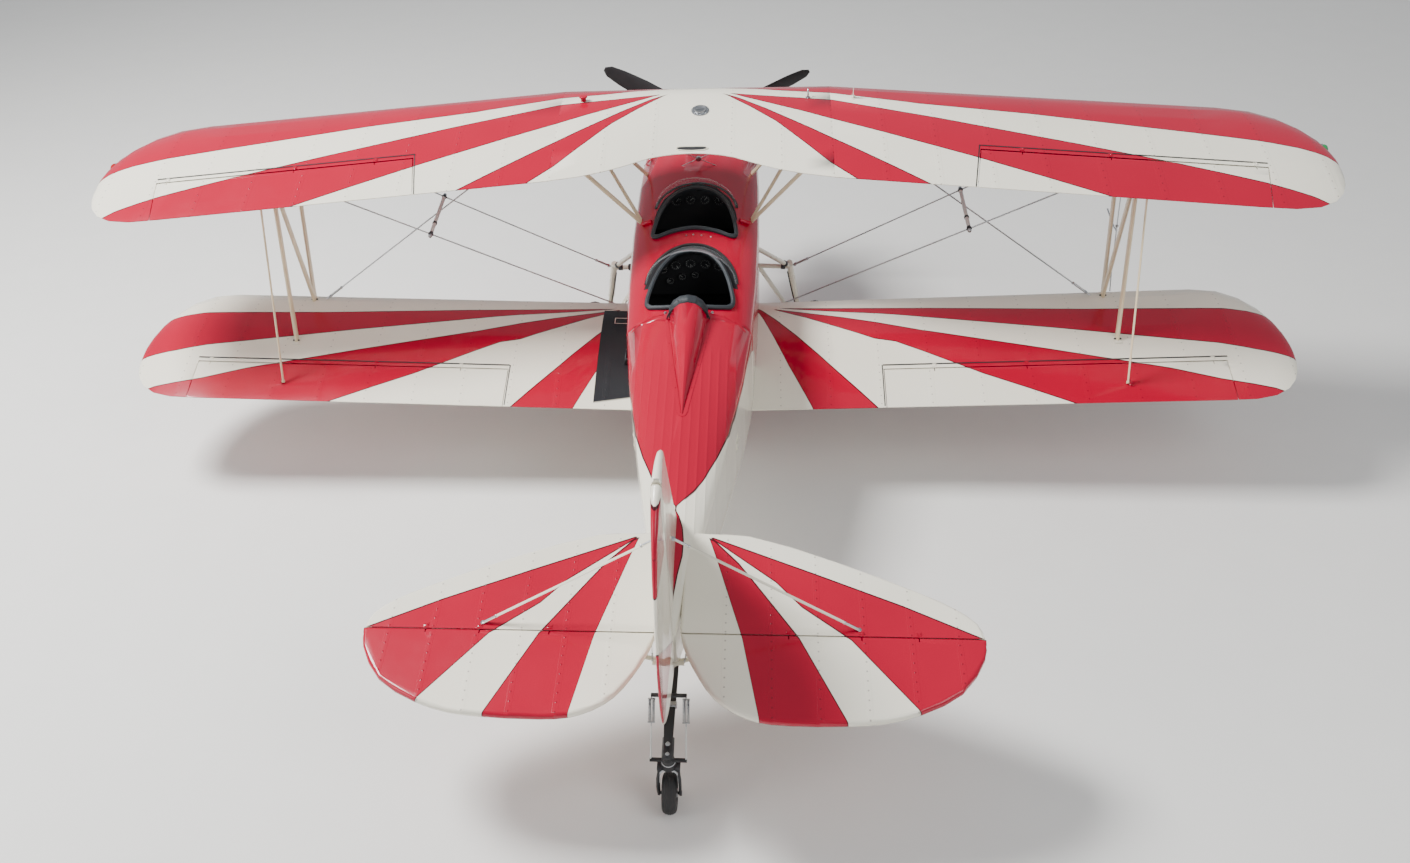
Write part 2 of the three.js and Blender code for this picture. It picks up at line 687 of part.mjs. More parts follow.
// Tail surfaces: outlines of one side as [x, y] and of the fin as [y, z]
const TAILPLANE = [
  [60, -2500], [200, -2508], [410, -2520], [860, -2690], [1285, -2893], [1450, -2990], [1545, -3080],
  [1572, -3180], [1555, -3290], [1430, -3482], [1232, -3600], [1055, -3657], [880, -3676], [600, -3682],
  [455, -3668], [340, -3622], [240, -3545], [160, -3425], [100, -3300], [76, -3230], [60, -3150],
];
const FIN = [
  [-2380, -640], [-2500, -430], [-2630, -140], [-2750, 120], [-2830, 290], [-2880, 375], [-2940, 435],
  [-3020, 472], [-3110, 486], [-3210, 484], [-3330, 452], [-3440, 372], [-3550, 222], [-3640, 0],
  [-3690, -220], [-3705, -420], [-3690, -600],
  [-3640, -740], [-3540, -830], [-3400, -872], [-3180, -880],
];

// Points of the smooth curve through an outline's own points
function curved(outline, steps) {
  const through = outline.map(([a, b]) => new THREE.Vector3(a, b, 0));
  const curve = new THREE.CatmullRomCurve3(through, false, 'centripetal');
  return curve.getPoints((outline.length - 1) * steps).map((p) => [p.x, p.y]);
}

function makeTailplane(side) {
  const edge = curved(TAILPLANE, 2).map(([x, y]) => [side * x, y]);
  const whole = plate(edge, TAIL_THICK, 16, 'z', TAIL_Z);
  const [root, tip] = [70, 1620];
  const [from, to] = [root, tip].map((x) => [side * x, ELEVATOR_HINGE_Y, TAIL_Z]);
  const radius = TAIL_THICK / 2 - 1;
  const cut = splitControl(whole, from, to, radius, 0, HINGE_GAP);
  const outline = plate(edge, TAIL_THICK + 2, 2, 'z', TAIL_Z);
  const behind = box([-2000, -4000, -1000], [2000, ELEVATOR_HINGE_Y, 0]);
  const clear = {
    fixed: trimmed(cut.fixed.subtract(behind).subtract(hullOuter.translate(side * GAP, 0, 0))),
    moving: trimmed(cut.moving.intersect(outline)),
  };
  const stations = ELEVATOR_HINGES.map((x) => x - root);
  return addHinges(clear, hingeFrame(from, to), stations, radius, HINGE_GAP);
}

const RUDDER_NOSE = 22;
const RUDDER_HORN = { z: -770, aft: 55, half: 82 };
const STEERING_HORN = { z: -925, aft: 140, half: 92, postTop: -860 };
const HORN_BAR = { thick: 12, chord: 26 };
const FIN_FOOT_Z = -634;

function makeFin() {
  const edge = curved(FIN, 2);
  const whole = plate(edge, 50, 20, 'x', 0);
  const [foot, head] = [-878, 470];
  const frame = hingeFrame([0, RUDDER_HINGE_Y, foot], [0, RUDDER_HINGE_Y, head]);
  const behind = box([-100, -4200, -1200], [100, RUDDER_HINGE_Y, 900]);
  const bay = rollerAt(frame, RUDDER_NOSE + HINGE_GAP, -200, head - foot + 200).add(behind);
  const nose = rollerAt(frame, RUDDER_NOSE, 0, head - foot).intersect(plate(edge, 60, 4, 'x', 0));
  const across = ({ half, aft, z }) => {
    const y = RUDDER_HINGE_Y - aft;
    return bar([-half, y, z], [half, y, z], HORN_BAR.thick, HORN_BAR.chord, 8);
  };
  const postY = RUDDER_HINGE_Y - STEERING_HORN.aft;
  const [postTop, postFoot] = [[0, postY, STEERING_HORN.postTop], [0, postY, STEERING_HORN.z - 5]];
  const post = bar(postTop, postFoot, HORN_BAR.chord, HORN_BAR.chord, 10);
  const horn = join([across(RUDDER_HORN), post, across(STEERING_HORN)]);
  const cut = {
    fixed: trimmed(whole.subtract(bay).subtract(box([-100, -3300, -1200], [100, -2000, FIN_FOOT_Z]))
      .subtract(hullOuter.translate(0, 0, GAP))),
    moving: whole.intersect(behind).add(nose),
  };
  const parts = addHinges(cut, frame, RUDDER_HINGES.map((z) => z - foot), RUDDER_NOSE, HINGE_GAP);
  return { fin: parts.fixed, rudder: parts.moving.add(horn) };
}

const fin = makeFin();
const tailplanes = { left: makeTailplane(-1), right: makeTailplane(1) };

const TAIL_STRUT = { root: [44, -3120, -942], tip: [970, -3110, -672], thick: 16, chord: 30 };
const TAIL_WIRE = { top: [10, -3000, -90], tip: [975, -3140, -636], thick: 8, chord: 19 };

function makeTailStruts() {
  const { root, tip, thick, chord } = TAIL_STRUT;
  const ends = [-1, 1].map((side) => mirrored([root[0] + 8, root[1], root[2]], side));
  const solids = [bar(ends[0], ends[1], thick + 4, chord, 8)];
  for (const side of [-1, 1]) {
    solids.push(bar(mirrored(root, side), mirrored(tip, side), thick, chord, 8));
  }
  return trimmed(join(solids)
    .subtract(hullOuter.translate(0, 0, -GAP))
    .subtract(tailplanes.left.fixed.translate(0, 0, -GAP))
    .subtract(tailplanes.right.fixed.translate(0, 0, -GAP)));
}

function makeTailWire(side) {
  const [top, tip] = [mirrored(TAIL_WIRE.top, side), mirrored(TAIL_WIRE.tip, side)];
  return trimmed(bar(top, tip, TAIL_WIRE.thick, TAIL_WIRE.chord, 8)
    .subtract(fin.fin.translate(side * GAP, 0, 0))
    .subtract(tailplanes[side < 0 ? 'left' : 'right'].fixed.translate(0, 0, GAP)));
}

// Tail spring, fork and wheels
// Leaf rows are [y, z, half width]
const LEAF = [[-2840, -1012, 38], [-3200, -1022, 34], [-3440, -1052, 26], [-3600, -1092, 20]];
const LEAF_THICK = 16;
const KINGPIN = { top: -1056, seat: -1112, size: 44 };
const SPRING_HEAD = { fore: [0, -3500, -1072], aft: [0, -3618, -1087], wide: 62, deep: 46 };

function makeTailSpring() {
  const leaf = loft(LEAF.map(([y, z, half]) => [
    new THREE.Vector3(-half, y, z), new THREE.Vector3(half, y, z),
    new THREE.Vector3(half, y, z + LEAF_THICK), new THREE.Vector3(-half, y, z + LEAF_THICK),
  ]), 'y');
  const [seat, top] = [[0, KINGPIN_Y, KINGPIN.seat], [0, KINGPIN_Y, KINGPIN.top]];
  const post = bar(seat, top, KINGPIN.size, KINGPIN.size, 16);
  const head = bar(SPRING_HEAD.fore, SPRING_HEAD.aft, SPRING_HEAD.wide, SPRING_HEAD.deep, 8);
  const pad = box([-34, -2960, -1010], [34, -2850, -960]);
  return trimmed(join([leaf, post, head, pad]).subtract(hullOuter.translate(0, 0, -GAP)));
}

const FORK = { crown: -1180, clear: 6, blade: 9, bladeChord: 46, armZ: -1140, armHalf: 95 };

function makeTailFork() {
  const { crown, clear, blade, bladeChord, armZ, armHalf } = FORK;
  const half = TAILWHEEL.width / 2;
  const cheek = half + clear;
  const axleEnd = half + 14;
  const { y, z } = TAILWHEEL;
  const [stemFoot, stemTop] = [[0, KINGPIN_Y, crown - 20], [0, KINGPIN_Y, KINGPIN.seat - GAP]];
  const solids = [
    bar(stemFoot, stemTop, KINGPIN.size - 4, KINGPIN.size - 4, 16),
    box([-cheek - 10, KINGPIN_Y - 30, crown - 24], [cheek + 10, KINGPIN_Y + 24, crown]),
    bar([-axleEnd, y, z], [axleEnd, y, z], TAILWHEEL.axle * 2, TAILWHEEL.axle * 2),
    bar([-armHalf, KINGPIN_Y, armZ], [armHalf, KINGPIN_Y, armZ], HORN_BAR.thick, HORN_BAR.chord, 8),
  ];
  for (const side of [-1, 1]) {
    const x = side * (cheek + 4);
    solids.push(bar([x, KINGPIN_Y - 4, crown - 12], [x, y, z], blade, bladeChord, 10));
  }
  return join(solids);
}

function tyreSolid(wheel, x, segments) {
  const half = wheel.width / 2;
  const inner = wheel.rim + GAP;
  const r = wheel.radius;
  const profile = [
    [inner, -half * 0.72], [r - half * 0.9, -half], [r - half * 0.4, -half * 0.92], [r, -half * 0.45],
    [r, half * 0.45], [r - half * 0.4, half * 0.92], [r - half * 0.9, half], [inner, half * 0.72],
    [inner, -half * 0.72],
  ];
  return turned(profile, [x, wheel.y, wheel.z], segments);
}

function hubSolid(wheel, x, segments) {
  const half = wheel.width / 2;
  const bore = wheel.axle + BORE_GAP;
  const profile = [
    [bore, -half * 0.95], [wheel.rim * 0.4, -half * 0.95], [wheel.rim * 0.5, -half * 0.5],
    [wheel.rim * 0.9, -half * 0.45], [wheel.rim, -half * 0.72], [wheel.rim, half * 0.72],
    [wheel.rim * 0.9, half * 0.45], [wheel.rim * 0.5, half * 0.5], [wheel.rim * 0.4, half * 0.95],
    [bore, half * 0.95], [bore, -half * 0.95],
  ];
  return turned(profile, [x, wheel.y, wheel.z], segments);
}

// Nose: cowling, engine, propeller and spinner. Rows are [y, half width, bottom, side top, top]
const COWL_SECTIONS = [
  [FIREWALL_Y + GAP, 440, -1425, -790, -605],
  [1700, 425, -1400, -800, -640],
  [2050, 360, -1330, -840, -700],
  [2220, 290, -1255, -880, -760],
  [COWL_FRONT_Y, 215, -1175, -910, -800],
];

function cowlSolid(inset, fore) {
  const rows = COWL_SECTIONS.filter((row) => row[0] <= fore);
  return loft(rows.map(([y, half, bottom, side, top]) => (
    cowlRing(y, half - inset, bottom + inset, side, top - inset))), 'y');
}

function cowlRing(y, half, bottom, side, top) {
  const roundness = THREE.MathUtils.clamp((y - FIREWALL_Y) / (COWL_FRONT_Y - FIREWALL_Y), 0, 1);
  const corner = LOWER_CORNER + roundness * 120;
  return [
    new THREE.Vector3(half - corner, y, bottom),
    new THREE.Vector3(half, y, bottom + corner),
    ...fuselageRing(y, half, bottom, side, top).slice(2, 3 + DECK_STEPS),
    new THREE.Vector3(-half, y, bottom + corner),
    new THREE.Vector3(-half + corner, y, bottom),
  ];
}

const COWL = { wall: 12, front: 2220, shaftHole: 120 };
const INLET = { x: 150, up: 20, wide: 110, high: 90 };

function makeCowling() {
  const skin = cowlSolid(0, COWL_FRONT_Y).subtract(cowlSolid(COWL.wall, COWL.front).translate(0, -1, 0));
  const bore = (x, z, wide, high) => {
    return bar([x, COWL.front - 120, z], [x, COWL_FRONT_Y + 110, z], wide, high, 20);
  };
  const holes = [bore(0, THRUST_Z, COWL.shaftHole, COWL.shaftHole)];
  for (const side of [-1, 1]) {
    holes.push(bore(side * INLET.x, THRUST_Z + INLET.up, INLET.wide, INLET.high));
  }
  return skin.subtract(join(holes));
}

const ENGINE = {
  cylinders: [[-330, 1560, -1180], [330, 2040, -860]],
  mount: [[-130, FIREWALL_Y + GAP, -1120], [130, 1600, -840]],
  shaft: 80,
};

function makeEngine() {
  const [from, to] = [[0, ENGINE.cylinders[1][1] - 40, THRUST_Z], [0, PROP_Y - HUB.aft - GAP, THRUST_Z]];
  return join([
    box(...ENGINE.cylinders),
    box(...ENGINE.mount),
    bar(from, to, ENGINE.shaft, ENGINE.shaft, 16),
  ]);
}

// Blade rows are [radius, chord, thickness, pitch in degrees]
const BLADE = [
  [30, 60, 60, 60], [160, 66, 62, 55], [250, 120, 34, 44], [400, 150, 22, 34], [600, 150, 16, 26],
  [800, 126, 12, 20], [920, 92, 9, 17], [PROP_RADIUS, 30, 6, 16],
];

function bladeSolid(angle) {
  const rings = BLADE.map(([radius, chord, thick, pitch]) => {
    const twist = THREE.MathUtils.degToRad(pitch);
    return [...Array(12).keys()].map((k) => {
      const turn = (Math.PI * 2 * k) / 12;
      const [a, b] = [(chord / 2) * Math.cos(turn), (thick / 2) * Math.sin(turn)];
      const x = a * Math.cos(twist) - b * Math.sin(twist);
      const y = a * Math.sin(twist) + b * Math.cos(twist);
      return new THREE.Vector3(x, PROP_Y + y, radius);
    });
  });
  const geometry = geometryOf(loft(rings, 'z'));
  geometry.rotateY(angle);
  geometry.translate(0, 0, THRUST_Z);
  return solidOf(geometry);
}

const BLADE_ANGLES = [60, -60, 180].map((degrees) => THREE.MathUtils.degToRad(degrees + 2));

function makePropeller() {
  const [rear, front] = [[0, PROP_Y - HUB.aft, THRUST_Z], [0, PROP_Y + HUB.fore, THRUST_Z]];
  const hub = bar(rear, front, HUB.radius * 2, HUB.radius * 2, 24);
  return join([hub, ...BLADE_ANGLES.map(bladeSolid)]);
}

function makeSpinner() {
  const { radius, back, tip } = SPINNER;
  const length = tip - back;
  const profile = [[0, 0], [radius, 0], [radius, length * 0.12]];
  for (const t of [0.35, 0.6, 0.8, 0.93]) profile.push([radius * (1 - t ** 2.1) ** 0.62, length * t]);
  profile.push([0, length]);
  const geometry = new THREE.LatheGeometry(profile.map(([r, y]) => new THREE.Vector2(r, y)), 24);
  geometry.translate(0, back, THRUST_Z);
  const bore = (HUB.radius + GAP) * 2;
  const middle = [0, PROP_Y, THRUST_Z];
  const cuts = [bar([0, back - 20, THRUST_Z], [0, PROP_Y + HUB.fore + GAP, THRUST_Z], bore, bore, 24)];
  const root = (SHANK_RADIUS + SPINNER.rootClear) * 2;
  for (const angle of BLADE_ANGLES) {
    const reach = radius * 1.5;
    const out = [Math.sin(angle) * reach, PROP_Y, THRUST_Z + Math.cos(angle) * reach];
    cuts.push(bar(middle, out, root, root, 16));
  }
  return solidOf(geometry).subtract(join(cuts));
}

// Assembly: every mesh keeps its own pivot, so its position is a point on its hinge
const aircraft = new THREE.Group();

function addPiece(name, solid, finish, pivot = [0, 0, 0]) {
  const [color, roughness, metalness] = FINISH[finish];
  const geometry = geometryOf(solid);
  geometry.translate(-pivot[0], -pivot[1], -pivot[2]);
  const mesh = new THREE.Mesh(geometry, new THREE.MeshStandardMaterial({ color, roughness, metalness }));
  mesh.name = name;
  mesh.position.set(...pivot);
  aircraft.add(mesh);
}

addPiece('fuselage', makeFuselage(), 'red');
addPiece('aft_fuselage', makeAftFuselage(), 'red');
addPiece('cowling', makeCowling(), 'red');
addPiece('engine_block', makeEngine(), 'metal');
addPiece('wing_center_section', centreSection, 'cream');
addPiece('fin', fin.fin, 'cream');
addPiece('rudder', fin.rudder, 'cream', [0, RUDDER_HINGE_Y, -600]);
addPiece('headrest_pad', makeHeadrestPad(), 'leather');
for (const cockpit of COCKPITS) {
  addPiece(`cockpit_rim_${cockpit.name}`, makeRim(cockpit), 'leather');
  addPiece(`windscreen_${cockpit.name}`, makeScreen(cockpit), 'glass');
  addPiece(`instrument_panel_${cockpit.name}`, makePanel(cockpit), 'black');
  addPiece(`seat_${cockpit.name}`, makeSeat(cockpit), 'black');
}
for (const [word, side] of [['left', -1], ['right', 1]]) {
  const [upper, lower] = [wings[`upper_${word}`], wings[`lower_${word}`]];
  const low = rodPivot(LOWER, LOWER_AILERON, side, 1);
  const high = rodPivot(UPPER, UPPER_AILERON, side, -1);
  const gear = makeGear(side);
  const wheelAt = [side * WHEEL.x, WHEEL.y, WHEEL.z];
  const upperAileron = upper.moving.add(lugAt(high, side, -1, 8));
  const lowerAileron = lower.moving.add(lugAt(low, side, 1, GAP));
  addPiece(`wing_upper_${word}`, upper.fixed, 'cream');
  addPiece(`wing_lower_${word}`, lower.fixed, 'cream');
  addPiece(`aileron_upper_${word}`, upperAileron, 'cream', mirrored(upper.hinge, side));
  addPiece(`aileron_lower_${word}`, lowerAileron, 'cream', mirrored(lower.hinge, side));
  addPiece(`aileron_rod_${word}`, makeRod(side), 'cream', low);
  addPiece(`interplane_strut_${word}`, makeInterplane(side, upper.whole, lower.whole), 'cream');
  addPiece(`cabane_${word}`, makeCabane(side), 'cream');
  addPiece(`gear_${word}`, gear, 'cream');
  addPiece(`wires_${word}`, makeWires(side, upper.whole, lower.whole, gear), 'metal');
  addPiece(`stabilizer_${word}`, tailplanes[word].fixed, 'cream');
  addPiece(`elevator_${word}`, tailplanes[word].moving, 'cream', [side * 800, ELEVATOR_HINGE_Y, TAIL_Z]);
  addPiece(`tail_wire_${word}`, makeTailWire(side), 'metal');
  addPiece(`tyre_${word}`, tyreSolid(WHEEL, side * WHEEL.x, 32), 'rubber', wheelAt);
  addPiece(`wheel_hub_${word}`, hubSolid(WHEEL, side * WHEEL.x, 16), 'metal', wheelAt);
}
addPiece('tail_struts', makeTailStruts(), 'cream');
addPiece('tail_spring', makeTailSpring(), 'black');
addPiece('tail_fork', makeTailFork(), 'black', [0, KINGPIN_Y, -1112]);
addPiece('tailwheel_tyre', tyreSolid(TAILWHEEL, 0, 24), 'rubber', [0, TAILWHEEL.y, TAILWHEEL.z]);
addPiece('tailwheel_hub', hubSolid(TAILWHEEL, 0, 12), 'metal', [0, TAILWHEEL.y, TAILWHEEL.z]);
addPiece('propeller', makePropeller(), 'black', [0, PROP_Y, THRUST_Z]);
addPiece('spinner', makeSpinner(), 'red', [0, PROP_Y, THRUST_Z]);

// Parked attitude: nose up, wheels on the ground, origin below the middle of the whole
aircraft.rotation.x = THREE.MathUtils.degToRad(DECK_ANGLE);
const parked = new THREE.Group();
parked.add(aircraft);
parked.updateMatrixWorld(true);
const bounds = new THREE.Box3().setFromObject(parked, true);
aircraft.position.y = -(bounds.min.y + bounds.max.y) / 2;
aircraft.position.z = -bounds.min.z;

export default parked;
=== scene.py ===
import math

import bmesh
import bpy
from mathutils import Matrix, Vector


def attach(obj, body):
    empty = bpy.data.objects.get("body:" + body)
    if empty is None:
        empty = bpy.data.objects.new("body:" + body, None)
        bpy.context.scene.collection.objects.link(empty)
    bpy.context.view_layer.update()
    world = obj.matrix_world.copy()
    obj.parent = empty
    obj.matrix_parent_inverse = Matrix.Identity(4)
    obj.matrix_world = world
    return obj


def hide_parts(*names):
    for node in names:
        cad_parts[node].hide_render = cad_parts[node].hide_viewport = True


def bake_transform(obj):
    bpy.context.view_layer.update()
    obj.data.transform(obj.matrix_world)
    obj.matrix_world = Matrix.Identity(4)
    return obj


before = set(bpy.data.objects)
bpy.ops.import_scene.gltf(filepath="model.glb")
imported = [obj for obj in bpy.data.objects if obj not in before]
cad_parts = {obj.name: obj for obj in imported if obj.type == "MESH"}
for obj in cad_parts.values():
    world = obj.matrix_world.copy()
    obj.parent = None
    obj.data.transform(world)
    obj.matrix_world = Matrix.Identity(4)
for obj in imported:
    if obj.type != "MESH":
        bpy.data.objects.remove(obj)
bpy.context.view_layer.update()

# The aircraft is described level (x right, y nose, z up, datum at the upper wing's trailing
# edge) and then turned to the way it stands on its wheels.
parked = {"tilt": math.radians(9.98), "datum": Vector((0.0, 0.358905, 2.088199))}
turnUp = Matrix.Rotation(parked["tilt"], 3, "X")
tiltCos = math.cos(parked["tilt"])
tiltSin = math.sin(parked["tilt"])


def level(x, y, z):
    return turnUp @ Vector((x, y, z)) + parked["datum"]


def toLevel(point):
    return turnUp.transposed() @ (Vector(point) - parked["datum"])


# Camera of the photograph
camera = {
    "at": (0.4634, -7.1138, 4.6178),
    "yaw": 7.5073,
    "pitch": 42.0275,
    "roll": -4.9451,
    "focal": 1280.0,
    "centre": (635.81, 388.24),
    "frame": (1410, 863),
}


def makeCamera():
    yaw, pitch, roll = (math.radians(camera[key]) for key in ("yaw", "pitch", "roll"))
    ahead = Vector((-math.sin(yaw), math.cos(yaw), 0))
    right = Vector((math.cos(yaw), math.sin(yaw), 0))
    up = Vector((0, 0, 1))
    look = ahead * math.cos(pitch) - up * math.sin(pitch)
    top = up * math.cos(pitch) + ahead * math.sin(pitch)
    side = right * math.cos(roll) + top * math.sin(roll)
    top = top * math.cos(roll) - right * math.sin(roll)
    axes = [turnUp @ v for v in (side, top, -look)]
    width, height = camera["frame"]
    data = bpy.data.cameras.new("photoCamera")
    data.sensor_width = 36
    data.lens = 36 * camera["focal"] / width
    data.shift_x = (width / 2 - camera["centre"][0]) / width
    data.shift_y = (camera["centre"][1] - height / 2) / width
    data.clip_end = 200
    obj = bpy.data.objects.new("photoCamera", data)
    turn = Matrix((axes[0], axes[1], axes[2])).transposed().to_4x4()
    obj.matrix_world = Matrix.Translation(level(*camera["at"])) @ turn
    bpy.context.collection.objects.link(obj)
    bpy.context.scene.camera = obj


studio = {
    "floorColor": (0.74, 0.73, 0.70, 1),
    "worldColor": (0.90, 0.94, 1.0, 1),
    "worldStrength": 0.50,
    "lights": [
        # place, aim, size, watts
        ((-8.0, 0.0, 12.0), (0, 0, 1), 4.0, 3500),
        ((7.0, -7.0, 8.0), (0, 0, 1), 6.0, 420),
        ((-9.0, -6.0, 5.0), (0, 0, 1.2), 5.0, 260),
    ],
}


def makeStudio():
    bpy.ops.object.select_all(action="DESELECT")
    bpy.ops.mesh.primitive_plane_add(size=80, location=(0, 0, 0))
    floor = bpy.context.object
    floor.name = "studioFloor"
    finish = Finish("palePaper", roughness=0.85)
    grain = finish.noise(finish.objectSpace(), scale=3.0, detail=4)
    finish.color(finish.mix(grain, studio["floorColor"], tuple(c * 1.05 for c in studio["floorColor"])))
    floor.data.materials.append(finish.material)
    world = bpy.data.worlds.new("softStudio")
    world.use_nodes = True
    background = world.node_tree.nodes["Background"]
    background.inputs["Color"].default_value = studio["worldColor"]
    background.inputs["Strength"].default_value = studio["worldStrength"]
    bpy.context.scene.world = world
    for i, (at, aim, size, watts) in enumerate(studio["lights"]):
        data = bpy.data.lights.new(f"softLight{i}", "AREA")
        data.energy = watts
        data.size = size
        light = bpy.data.objects.new(f"softLight{i}", data)
        light.location = at
        light.rotation_euler = (Vector(at) - Vector(aim)).to_track_quat("Z", "Y").to_euler()
        bpy.context.collection.objects.link(light)


# Arithmetic of a signal with a second value, and the other way round
def forward(operation):
    return lambda self, other: self.math(operation, self, other)


def backward(operation):
    return lambda self, other: self.math(operation, other, self)


# A socket that does arithmetic
class Signal:
    __add__ = forward("ADD")
    __radd__ = backward("ADD")
    __sub__ = forward("SUBTRACT")
    __rsub__ = backward("SUBTRACT")
    __mul__ = forward("MULTIPLY")
    __truediv__ = forward("DIVIDE")
    __pow__ = forward("POWER")
    least = forward("MINIMUM")
    most = forward("MAXIMUM")

    def __init__(self, finish, socket):
        self.finish = finish
        self.socket = socket

    def math(self, operation, *values):
        sockets = dict(enumerate(values))
        return self.finish.node("ShaderNodeMath", {"operation": operation}, sockets)

    def __abs__(self):
        return self.math("ABSOLUTE", self)

    def fraction(self):
        return self.math("FRACT", self)

    # 0 below the low value, 1 above the high one, smooth between
    def step(self, low, high):
        settings = {"interpolation_type": "SMOOTHSTEP"}
        sockets = {"Value": self, "From Min": low, "From Max": high}
        return self.finish.node("ShaderNodeMapRange", settings, sockets)

    # 1 where the value is within reach of zero
    def near(self, reach, soft=0.001):
        return 1 - abs(self).step(reach - soft, reach + soft)


class Finish:
    def __init__(self, name, **shader):
        self.material = bpy.data.materials.new(name)
        self.material.use_nodes = True
        self.tree = self.material.node_tree
        self.shader = self.tree.nodes["Principled BSDF"]
        odd = {"ior": "IOR", "specular_ior_level": "Specular IOR Level"}
        for key, value in shader.items():
            word = odd.get(key, key.replace("_", " ").title())
            self.shader.inputs[word].default_value = value

    def node(self, kind, settings=None, sockets=None, result=0):
        node = self.tree.nodes.new(kind)
        for key, value in (settings or {}).items():
            if key == "stops":
                ramp = node.color_ramp
                while len(ramp.elements) < len(value):
                    ramp.elements.new(0.5)
                for element, (at, color) in zip(ramp.elements, value):
                    element.position = at
                for element, (at, color) in zip(ramp.elements, value):
                    element.color = color
            else:
                setattr(node, key, value)
        for key, value in (sockets or {}).items():
            if isinstance(value, Signal):
                self.tree.links.new(value.socket, node.inputs[key])
            else:
                node.inputs[key].default_value = value
        return Signal(self, node.outputs[result])

    def feed(self, word, signal):
        self.tree.links.new(signal.socket, self.shader.inputs[word])

    def color(self, signal):
        self.feed("Base Color", signal)

    def objectSpace(self):
        return self.node("ShaderNodeTexCoord", result="Object")

    def axes(self):
        apart = self.node("ShaderNodeSeparateXYZ", sockets={0: self.objectSpace()})
        return tuple(Signal(self, apart.socket.node.outputs[i]) for i in range(3))

    # The surface's place on the level aircraft
    def levelAxes(self):
        x, y, z = self.axes()
        y = y - parked["datum"].y
        z = z - parked["datum"].z
        return x, y * tiltCos + z * tiltSin, z * tiltCos - y * tiltSin

    def mix(self, factor, first, second):
        settings = {"data_type": "RGBA"}
        return self.node("ShaderNodeMix", settings, {0: factor, 6: first, 7: second}, result=2)

    def noise(self, vector, scale, detail):
        sockets = {"Vector": vector, "Scale": scale, "Detail": detail, "Roughness": 0.5}
        return self.node("ShaderNodeTexNoise", sockets=sockets)

    def bump(self, height):
        sockets = {"Height": height, "Strength": 1.0, "Distance": 1.0}
        self.feed("Normal", self.node("ShaderNodeBump", sockets=sockets))

    # A drawn line: its second coordinate at each place along the first
    def line(self, along, points):
        first, last = points[0][0], points[-1][0]
        low = min(p[1] for p in points)
        high = max(p[1] for p in points)
        stops = []
        for at, value in points:
            grey = (value - low) / (high - low)
            stops.append(((at - first) / (last - first), (grey, grey, grey, 1)))
        settings = {"stops": stops}
        drawn = self.node("ShaderNodeValToRGB", settings, {0: (along - first) / (last - first)})
        return drawn * (high - low) + low


# The paints of the airframe
colors = {
    "cream": (0.86, 0.82, 0.70, 1),
    "creamShade": (0.80, 0.76, 0.63, 1),
    "red": (0.44, 0.0, 0.026, 1),
    "redDeep": (0.36, 0.0, 0.021, 1),
    "edging": (0.05, 0.002, 0.006, 1),
    "black": (0.012, 0.012, 0.014, 1),
    "tread": (0.010, 0.011, 0.013, 1),
    "treadGrit": (0.035, 0.036, 0.040, 1),
}


blur = 0.001      # half the width over which one paint changes to the next


# Distance inside a band that runs between two drawn lines
def bandDepth(finish, x, y, upper, lower, slant):
    if upper is None:
        return (y - finish.line(x, lower)) * slant
    return (finish.line(x, upper) - y).least(y - finish.line(x, lower)) * slant


# Depths inside several bands of one table, each named by its two edges
def bandDepths(finish, x, y, table, bands):
    return [bandDepth(finish, x, y, table.get(fore), table[aft], slant) for fore, aft, slant in bands]


# Cream outside and red inside, with a dark pinstripe between them
def twoColors(finish, space, inside, scale):
    patchy = finish.noise(space, scale=scale, detail=3)
    cream = finish.mix(patchy, colors["cream"], colors["creamShade"])
    red = finish.mix(patchy, colors["red"], colors["redDeep"])
    paint = finish.mix(inside.step(-blur, blur), cream, red)
    return finish.mix(inside.near(0.0035, 0.0012), paint, colors["edging"])


# Painted fabric: cream with red bands, ribs with their tape and stitching, and slack between them
def bandedFabric(finish, depths, x, y, ribs, extra=None):
    inside = depths[0]
    for depth in depths[1:]:
        inside = inside.most(depth)
    space = finish.objectSpace()
    paint = twoColors(finish, space, inside, 1.6)
    bay = ((x - ribs["first"]) / ribs["pitch"] + 0.5).fraction() - 0.5
    fromRib = abs(bay) * ribs["pitch"]
    tape = 1 - fromRib.step(ribs["tape"] - 0.002, ribs["tape"])
    along = ((y / ribs["stitch"]).fraction() - 0.5) * ribs["stitch"]
    dot = (fromRib * fromRib + along * along) ** 0.5
    knot = 1 - dot.step(0.002, 0.007)
    slack = 1 - abs(bay) * 2
    sag = (slack * slack - 1) * ribs["sag"]
    height = sag + tape * 0.0005 + knot * 0.0014
    ripple = finish.noise(space, scale=5, detail=2) * 0.0012
    paint = finish.mix(knot * 0.45, paint, colors["edging"])
    if extra:
        paint = extra(paint)
    finish.color(paint)
    finish.feed("Roughness", finish.noise(space, scale=5, detail=3) * 0.16 + 0.14)
    finish.bump(height + ripple)


